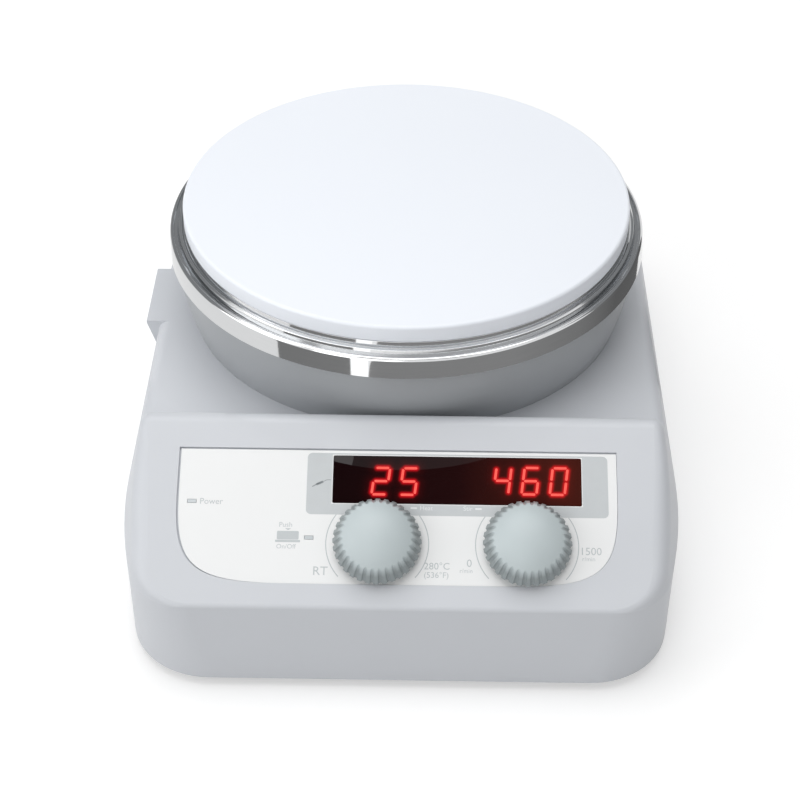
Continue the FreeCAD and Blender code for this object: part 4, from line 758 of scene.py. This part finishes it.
class STIRRER_OT_display(bpy.types.Operator):
    """Makes the display window and its lit digits"""

    bl_idname = "stirrer.display"
    bl_label = "Display"

    def execute(self, context):
        sizes, colours = context.scene.stirrer_sizes, context.scene.stirrer_colours
        low, high = fascia_extent("display_window")
        x0, x1 = low.x + WINDOW_LEDGE, high.x - WINDOW_LEDGE
        y0, y1 = low.y + WINDOW_LEDGE, high.y - WINDOW_LEDGE
        lines = self.lit_lines(sizes, (y0 + y1) / 2)
        bm = bmesh.new()
        glow = bm.verts.layers.float.new("glow")
        front = high.z
        columns, rows = round((x1 - x0) / GLOW_PITCH), round((y1 - y0) / GLOW_PITCH)
        grid = []
        for j in range(rows + 1):
            row = []
            for i in range(columns + 1):
                x, y = x0 + (x1 - x0) * i / columns, y0 + (y1 - y0) * j / rows
                vert = bm.verts.new(FASCIA @ Vector((x, y, front)))
                vert[glow] = self.glow_at(x, y, lines, sizes)
                row.append(vert)
            grid.append(row)
        for j in range(rows):
            for i in range(columns):
                bm.faces.new((grid[j][i], grid[j][i + 1], grid[j + 1][i + 1], grid[j + 1][i]))
        back = bmesh.ops.extrude_edge_only(bm, edges=[e for e in bm.edges if e.is_boundary])
        moved = [g for g in back["geom"] if isinstance(g, bmesh.types.BMVert)]
        into = FASCIA.to_3x3() @ Vector((0, 0, low.z - front))
        for vert in moved:
            vert.co += into
        bmesh.ops.contextual_create(bm, geom=[e for e in bm.edges if e.is_boundary])
        pane = mesh_object("display_filter", bm)
        pane.data.materials.append(tinted_acrylic(x0, x1))
        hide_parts("display_window")
        lit = bmesh.new()
        for start, end in lines:
            self.add_bar(lit, start, end, sizes.segment, front, front + sizes.ink)
        digits = mesh_object("display_digits", lit)
        digits.data.materials.append(lit_segment(colours))
        return {"FINISHED"}

    @staticmethod
    def lit_lines(sizes, middle):
        shapes = segment_lines(sizes)
        lines = []
        for node, text, shift in DIGITS:
            low, high = fascia_extent(node)
            pitch = (high.x - low.x) / len(text)
            for i, character in enumerate(text):
                if character == " ":
                    continue
                lean = DIGIT_SLANT * sizes.digit_height
                left = low.x + (i + 0.5) * pitch - sizes.digit_width / 2 - lean / 2
                bottom = middle + shift - sizes.digit_height / 2
                for key in SEGMENTS[character]:
                    ends = [(left + px + DIGIT_SLANT * py, bottom + py) for px, py in shapes[key]]
                    lines.append(ends)
        return lines

    @staticmethod
    def glow_at(x, y, lines, sizes):
        nearest = min(distance_to_line(x, y, a, b) for a, b in lines)
        beyond = max(0.0, nearest - sizes.segment / 2)
        near = GLOW_NEAR * math.exp(-((beyond / sizes.glow) ** 2))
        far = GLOW_FAR * math.exp(-((beyond / (GLOW_FAR_REACH * sizes.glow)) ** 2))
        return near + far

    @staticmethod
    def add_bar(bm, start, end, width, low, high):
        """One lit segment: a bar with rounded ends."""
        way = (Vector(end) - Vector(start)).normalized()
        turn = math.degrees(math.atan2(way.y, way.x))
        outline = arc_points(end, width / 2, turn - 90, turn + 90, 8)
        outline += arc_points(start, width / 2, turn + 90, turn + 270, 8)
        add_prism(bm, outline, low, high)


def distance_to_line(x, y, a, b):
    ax, ay = x - a[0], y - a[1]
    bx, by = b[0] - a[0], b[1] - a[1]
    t = max(0.0, min(1.0, (ax * bx + ay * by) / (bx * bx + by * by)))
    return math.hypot(ax - t * bx, ay - t * by)


class STIRRER_OT_knobs(bpy.types.Operator):
    """Finishes the two fluted knobs"""

    bl_idname = "stirrer.knobs"
    bl_label = "Knobs"

    def execute(self, context):
        low, high = fascia_extent("temperature_knob")
        height = high.z - low.z
        # heights on the knob between which the painted shade on its skirt fades out
        skirt = (low.z + PAINTED_SHADE_LOW * height, low.z + PAINTED_SHADE_HIGH * height)
        material = knob_plastic(context.scene.stirrer_colours, *skirt)
        for name in ("temperature", "speed"):
            dress(name + "_knob", material)
        return {"FINISHED"}


INNER_FINISHES = (  # material, colour, roughness, metallic, nodes
    (  # bright, with soft edges to its reflections
        "Steel screw, zinc plated", "#B9BCBF", 0.32, 1.0,
        ("base_screws", "board_screws", "collar_screws", "bracket_screws", "plate_screws"),
    ),
    # a smooth green sheen
    ("Circuit board, green resist", "#1E5A38", 0.45, 0.0, ("control_board", "power_board")),
    (  # near black, satin
        "Moulding, black nylon", "#17181A", 0.5, 0.0,
        ("temperature_encoder", "speed_encoder", "board_pillars", "relay", "magnet_carrier"),
    ),
    (  # yellow, with clear highlights on its turned faces
        "Brass, turned", "#C9A75A", 0.28, 1.0,
        ("encoder_nuts", "temperature_code_wheel", "speed_code_wheel", "socket_pins"),
    ),
    (  # the clearest reflections of the steel pieces
        "Steel, ground", "#B4B6B8", 0.22, 1.0,
        ("temperature_shaft", "speed_shaft", "motor_shaft", "motor_bearings", "rod_insert"),
    ),
    (  # broad dull reflections, as from the mill
        "Steel sheet, pressed", "#A9ABAD", 0.36, 1.0,
        ("heat_shield", "plate_posts", "plate_sensor", "motor_bracket"),
    ),
    # off-white and dull, as unglazed ceramic
    ("Steatite, fired", "#E6E2D6", 0.5, 0.0, ("ceramic_spacers", "thermal_cutout")),
    # matte, sandy
    ("Heater cement", "#8C8069", 0.8, 0.0, ("heating_element",)),
    # quite matte, pale
    ("Ceramic fibre, pressed", "#E3DFD2", 0.9, 0.0, ("insulation_disc",)),
    # dark metal, dulled by its edges
    ("Laminated iron", "#4B4C4E", 0.5, 1.0, ("stator", "rotor_core", "transformer")),
    # black with a soft gloss
    ("Steel, painted black", "#1F2022", 0.4, 0.0, ("motor_can",)),
    # warm silver, bright
    ("Magnet, nickel plated", "#C8C4BA", 0.2, 1.0, ("drive_magnets",)),
    # dark blue film with a sheen
    ("Capacitor sleeve", "#1B2C55", 0.35, 0.0, ("capacitors",)),
    # smooth and glossy
    ("Fuse glass", "#C9D1D2", 0.1, 0.0, ("board_fuse",)),
    # pale, slightly blurred
    ("Brass blade, tin plated", "#C9C5BB", 0.3, 1.0, ("inlet_pins",)),
    (  # near black, a little glossier than the nylon
        "Moulding, black polycarbonate", "#1A1B1D", 0.38, 0.0,
        ("mains_inlet", "switch_frame", "power_rocker", "sensor_socket"),
    ),
    # dark and smooth
    ("Digit block, grey resin", "#3A3B3D", 0.4, 0.0, ("temperature_digits", "speed_digits")),
    # pale and glossy
    ("Light pipe, clear", "#CDD3D6", 0.15, 0.0, ("lamp_pipes",)),
)


class STIRRER_OT_inner_parts(bpy.types.Operator):
    """Finishes the fasteners, the drive, the heater, the boards and the rear panel"""

    bl_idname = "stirrer.inner_parts"
    bl_label = "Inner parts"

    def execute(self, context):
        for name, hex_code, roughness, metallic, nodes in INNER_FINISHES:
            dress_all(nodes, plain_finish(name, hex_code, roughness, metallic, 0.006, 0.4))
        return {"FINISHED"}


def camera_place():
    """Where the photo was taken from, worked out from the housing's front edge."""
    return Vector((0, FRONT_Y, 0)) + CAMERA_FROM_FRONT


class STIRRER_OT_stage(bpy.types.Operator):
    """Sets the floor, the studio lights and the camera"""

    bl_idname = "stirrer.stage"
    bl_label = "Stage"

    def execute(self, context):
        scene = context.scene
        self.floor()
        self.world(scene)
        for lamp in LAMPS:
            self.light(*lamp)
        self.cards()
        self.camera(scene)
        scene.view_settings.view_transform = "Standard"
        return {"FINISHED"}

    @staticmethod
    def floor():
        bm = bmesh.new()
        bmesh.ops.create_grid(bm, x_segments=8, y_segments=8, size=FLOOR_REACH)
        floor = mesh_object("stage_floor", bm, body=None)
        material = bpy.data.materials.new("Seamless paper, white")
        material.use_nodes = True
        tree = material.node_tree
        tree.nodes.clear()
        grey = (FLOOR_GREY, FLOOR_GREY, FLOOR_GREY, 1.0)
        paper = add_node(tree, "ShaderNodeBsdfDiffuse", inputs={"Color": grey})
        wash_where_seen = {0: seen_directly(tree), 1: FLOOR_WASH}
        strength = add_node(tree, "ShaderNodeMath", {"operation": "MULTIPLY"}, wash_where_seen)
        wash = add_node(tree, "ShaderNodeEmission", inputs={"Strength": strength.outputs[0]})
        both = add_node(tree, "ShaderNodeAddShader", inputs={0: paper.outputs[0], 1: wash.outputs[0]})
        add_node(tree, "ShaderNodeOutputMaterial", inputs={"Surface": both.outputs[0]})
        floor.data.materials.append(material)

    def cards(self):
        """Cards that only reflections see: strips round the rim, a dark one behind, and a flag."""
        bm = bmesh.new()
        shade = bm.verts.layers.float.new("shade")
        for strip in STRIPS:
            previous = None
            for angle, top, light in self.along(strip):
                x, y = arc_points((0, AXIS_Y), STRIP_R, angle, angle, 1)[0]
                pair = [bm.verts.new((x, y, z)) for z in (STRIP_LOW, top * MM)]
                for vert in pair:
                    vert[shade] = light
                if previous:
                    bm.faces.new((previous[0], pair[0], pair[1], previous[1]))
                previous = pair
        self.card("stage_strips_round_rim", bm, "#FFFFFF", "shade")
        bm = bmesh.new()
        arc = arc_points((0, AXIS_Y), BACK_CARD_R, 0, 180, 24)
        low = [bm.verts.new((x, y, BACK_CARD_LOW)) for x, y in arc]
        high = [bm.verts.new((v.co.x, v.co.y, BACK_CARD_TOP)) for v in low]
        for i in range(len(low) - 1):
            bm.faces.new((low[i], low[i + 1], high[i + 1], high[i]))
        self.card("stage_card_behind", bm, "#8A8C8E")
        self.flag()

    @staticmethod
    def along(strip, step=3.0):
        """The strip's stations, with further ones in between where they are far apart."""
        for start, end in zip(strip, strip[1:]):
            count = max(1, math.ceil((end[0] - start[0]) / step))
            for k in range(count):
                yield [a + (b - a) * k / count for a, b in zip(start, end)]
        yield strip[-1]

    def flag(self):
        """A dark flag where the display window mirrors the ceiling towards the camera."""
        low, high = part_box("display_window")
        middle = (low + high) / 2
        out = FASCIA.to_3x3() @ Vector((0, 0, 1))
        to_camera = (camera_place() - middle).normalized()
        way = 2 * out.dot(to_camera) * out - to_camera
        centre = middle + way * FLAG_DISTANCE
        across = Vector((FLAG_SIZE[0] / 2, 0, 0))
        deep = way.cross(across).normalized() * (FLAG_SIZE[1] / 2)
        bm = bmesh.new()
        corners = (-across - deep, across - deep, across + deep, deep - across)
        bm.faces.new([bm.verts.new(centre + corner) for corner in corners])
        self.card("stage_flag_over_display", bm, "#101010")

    @staticmethod
    def card(name, bm, grey, brightness=None):
        card = mesh_object(name, bm, body=None)
        material = bpy.data.materials.new("Card, " + name)
        material.use_nodes = True
        tree = material.node_tree
        tree.nodes.clear()
        paint = add_node(tree, "ShaderNodeEmission", inputs={"Color": from_hex(grey)})
        if brightness:
            light = add_node(tree, "ShaderNodeAttribute", {"attribute_name": brightness})
            tree.links.new(light.outputs["Fac"], paint.inputs["Strength"])
        add_node(tree, "ShaderNodeOutputMaterial", inputs={"Surface": paint.outputs[0]})
        card.data.materials.append(material)
        card.visible_camera = False
        card.visible_diffuse = False
        card.visible_shadow = False
        card.visible_transmission = False

    @staticmethod
    def world(scene):
        world = bpy.data.worlds.new("Studio")
        scene.world = world
        world.use_nodes = True
        tree = world.node_tree
        tree.nodes.clear()
        white_where_seen = {"Value": seen_directly(tree), "To Min": SKY_ON_OBJECT, "To Max": 1.0}
        strength = add_node(tree, "ShaderNodeMapRange", inputs=white_where_seen)
        white = {"Color": (1, 1, 1, 1), "Strength": strength.outputs[0]}
        sky = add_node(tree, "ShaderNodeBackground", inputs=white)
        add_node(tree, "ShaderNodeOutputWorld", inputs={"Surface": sky.outputs[0]})

    @staticmethod
    def light(name, place, size, power):
        lamp = bpy.data.lights.new(name, "AREA")
        lamp.shape = "SQUARE"
        lamp.size = size
        lamp.energy = power
        holder = bpy.data.objects.new(name, lamp)
        holder.location = place
        aim = Vector(LAMP_TARGET) - Vector(place)
        holder.rotation_euler = aim.to_track_quat("-Z", "Y").to_euler()
        bpy.context.scene.collection.objects.link(holder)

    @staticmethod
    def camera(scene):
        azimuth, elevation, roll = CAMERA_AZIMUTH, CAMERA_ELEVATION, CAMERA_ROLL
        forward = Vector((
            -math.sin(azimuth) * math.cos(elevation),
            math.cos(azimuth) * math.cos(elevation),
            -math.sin(elevation),
        ))
        level = Vector((math.cos(azimuth), math.sin(azimuth), 0))
        upright = level.cross(forward)
        right = level * math.cos(roll) + upright * math.sin(roll)
        up = upright * math.cos(roll) - level * math.sin(roll)
        data = bpy.data.cameras.new("photo_camera")
        data.sensor_width = CAMERA_SENSOR
        data.lens = CAMERA_LENS
        camera = bpy.data.objects.new("photo_camera", data)
        bpy.context.scene.collection.objects.link(camera)
        place = camera_place()
        camera.matrix_world = Matrix((
            (right.x, up.x, -forward.x, place.x),
            (right.y, up.y, -forward.y, place.y),
            (right.z, up.z, -forward.z, place.z),
            (0, 0, 0, 1),
        ))
        scene.camera = camera


class STIRRER_PT_panel(bpy.types.Panel):
    """Lists the pieces and the values behind them"""

    bl_label = "Stirrer"
    bl_idname = "STIRRER_PT_panel"
    bl_space_type = "VIEW_3D"
    bl_region_type = "UI"
    bl_category = "Stirrer"

    def draw(self, context):
        for operator in PIECES:
            self.layout.operator(operator.bl_idname)
        for group in (context.scene.stirrer_sizes, context.scene.stirrer_colours):
            for name in group.bl_rna.properties.keys():
                if name not in {"rna_type", "name"}:
                    self.layout.prop(group, name)


PIECES = (
    STIRRER_OT_stage,
    STIRRER_OT_housing,
    STIRRER_OT_rim,
    STIRRER_OT_plate,
    STIRRER_OT_fascia,
    STIRRER_OT_display,
    STIRRER_OT_knobs,
    STIRRER_OT_inner_parts,
)
CLASSES = (StirrerSizes, StirrerColours, *PIECES, STIRRER_PT_panel)


def register():
    for cls in CLASSES:
        bpy.utils.register_class(cls)
    bpy.types.Scene.stirrer_sizes = bpy.props.PointerProperty(type=StirrerSizes)
    bpy.types.Scene.stirrer_colours = bpy.props.PointerProperty(type=StirrerColours)


def unregister():
    del bpy.types.Scene.stirrer_colours
    del bpy.types.Scene.stirrer_sizes
    for cls in reversed(CLASSES):
        bpy.utils.unregister_class(cls)


def main():
    register()
    for operator in PIECES:
        group, name = operator.bl_idname.split(".")
        getattr(getattr(bpy.ops, group), name)()


if __name__ == "__main__":
    main()
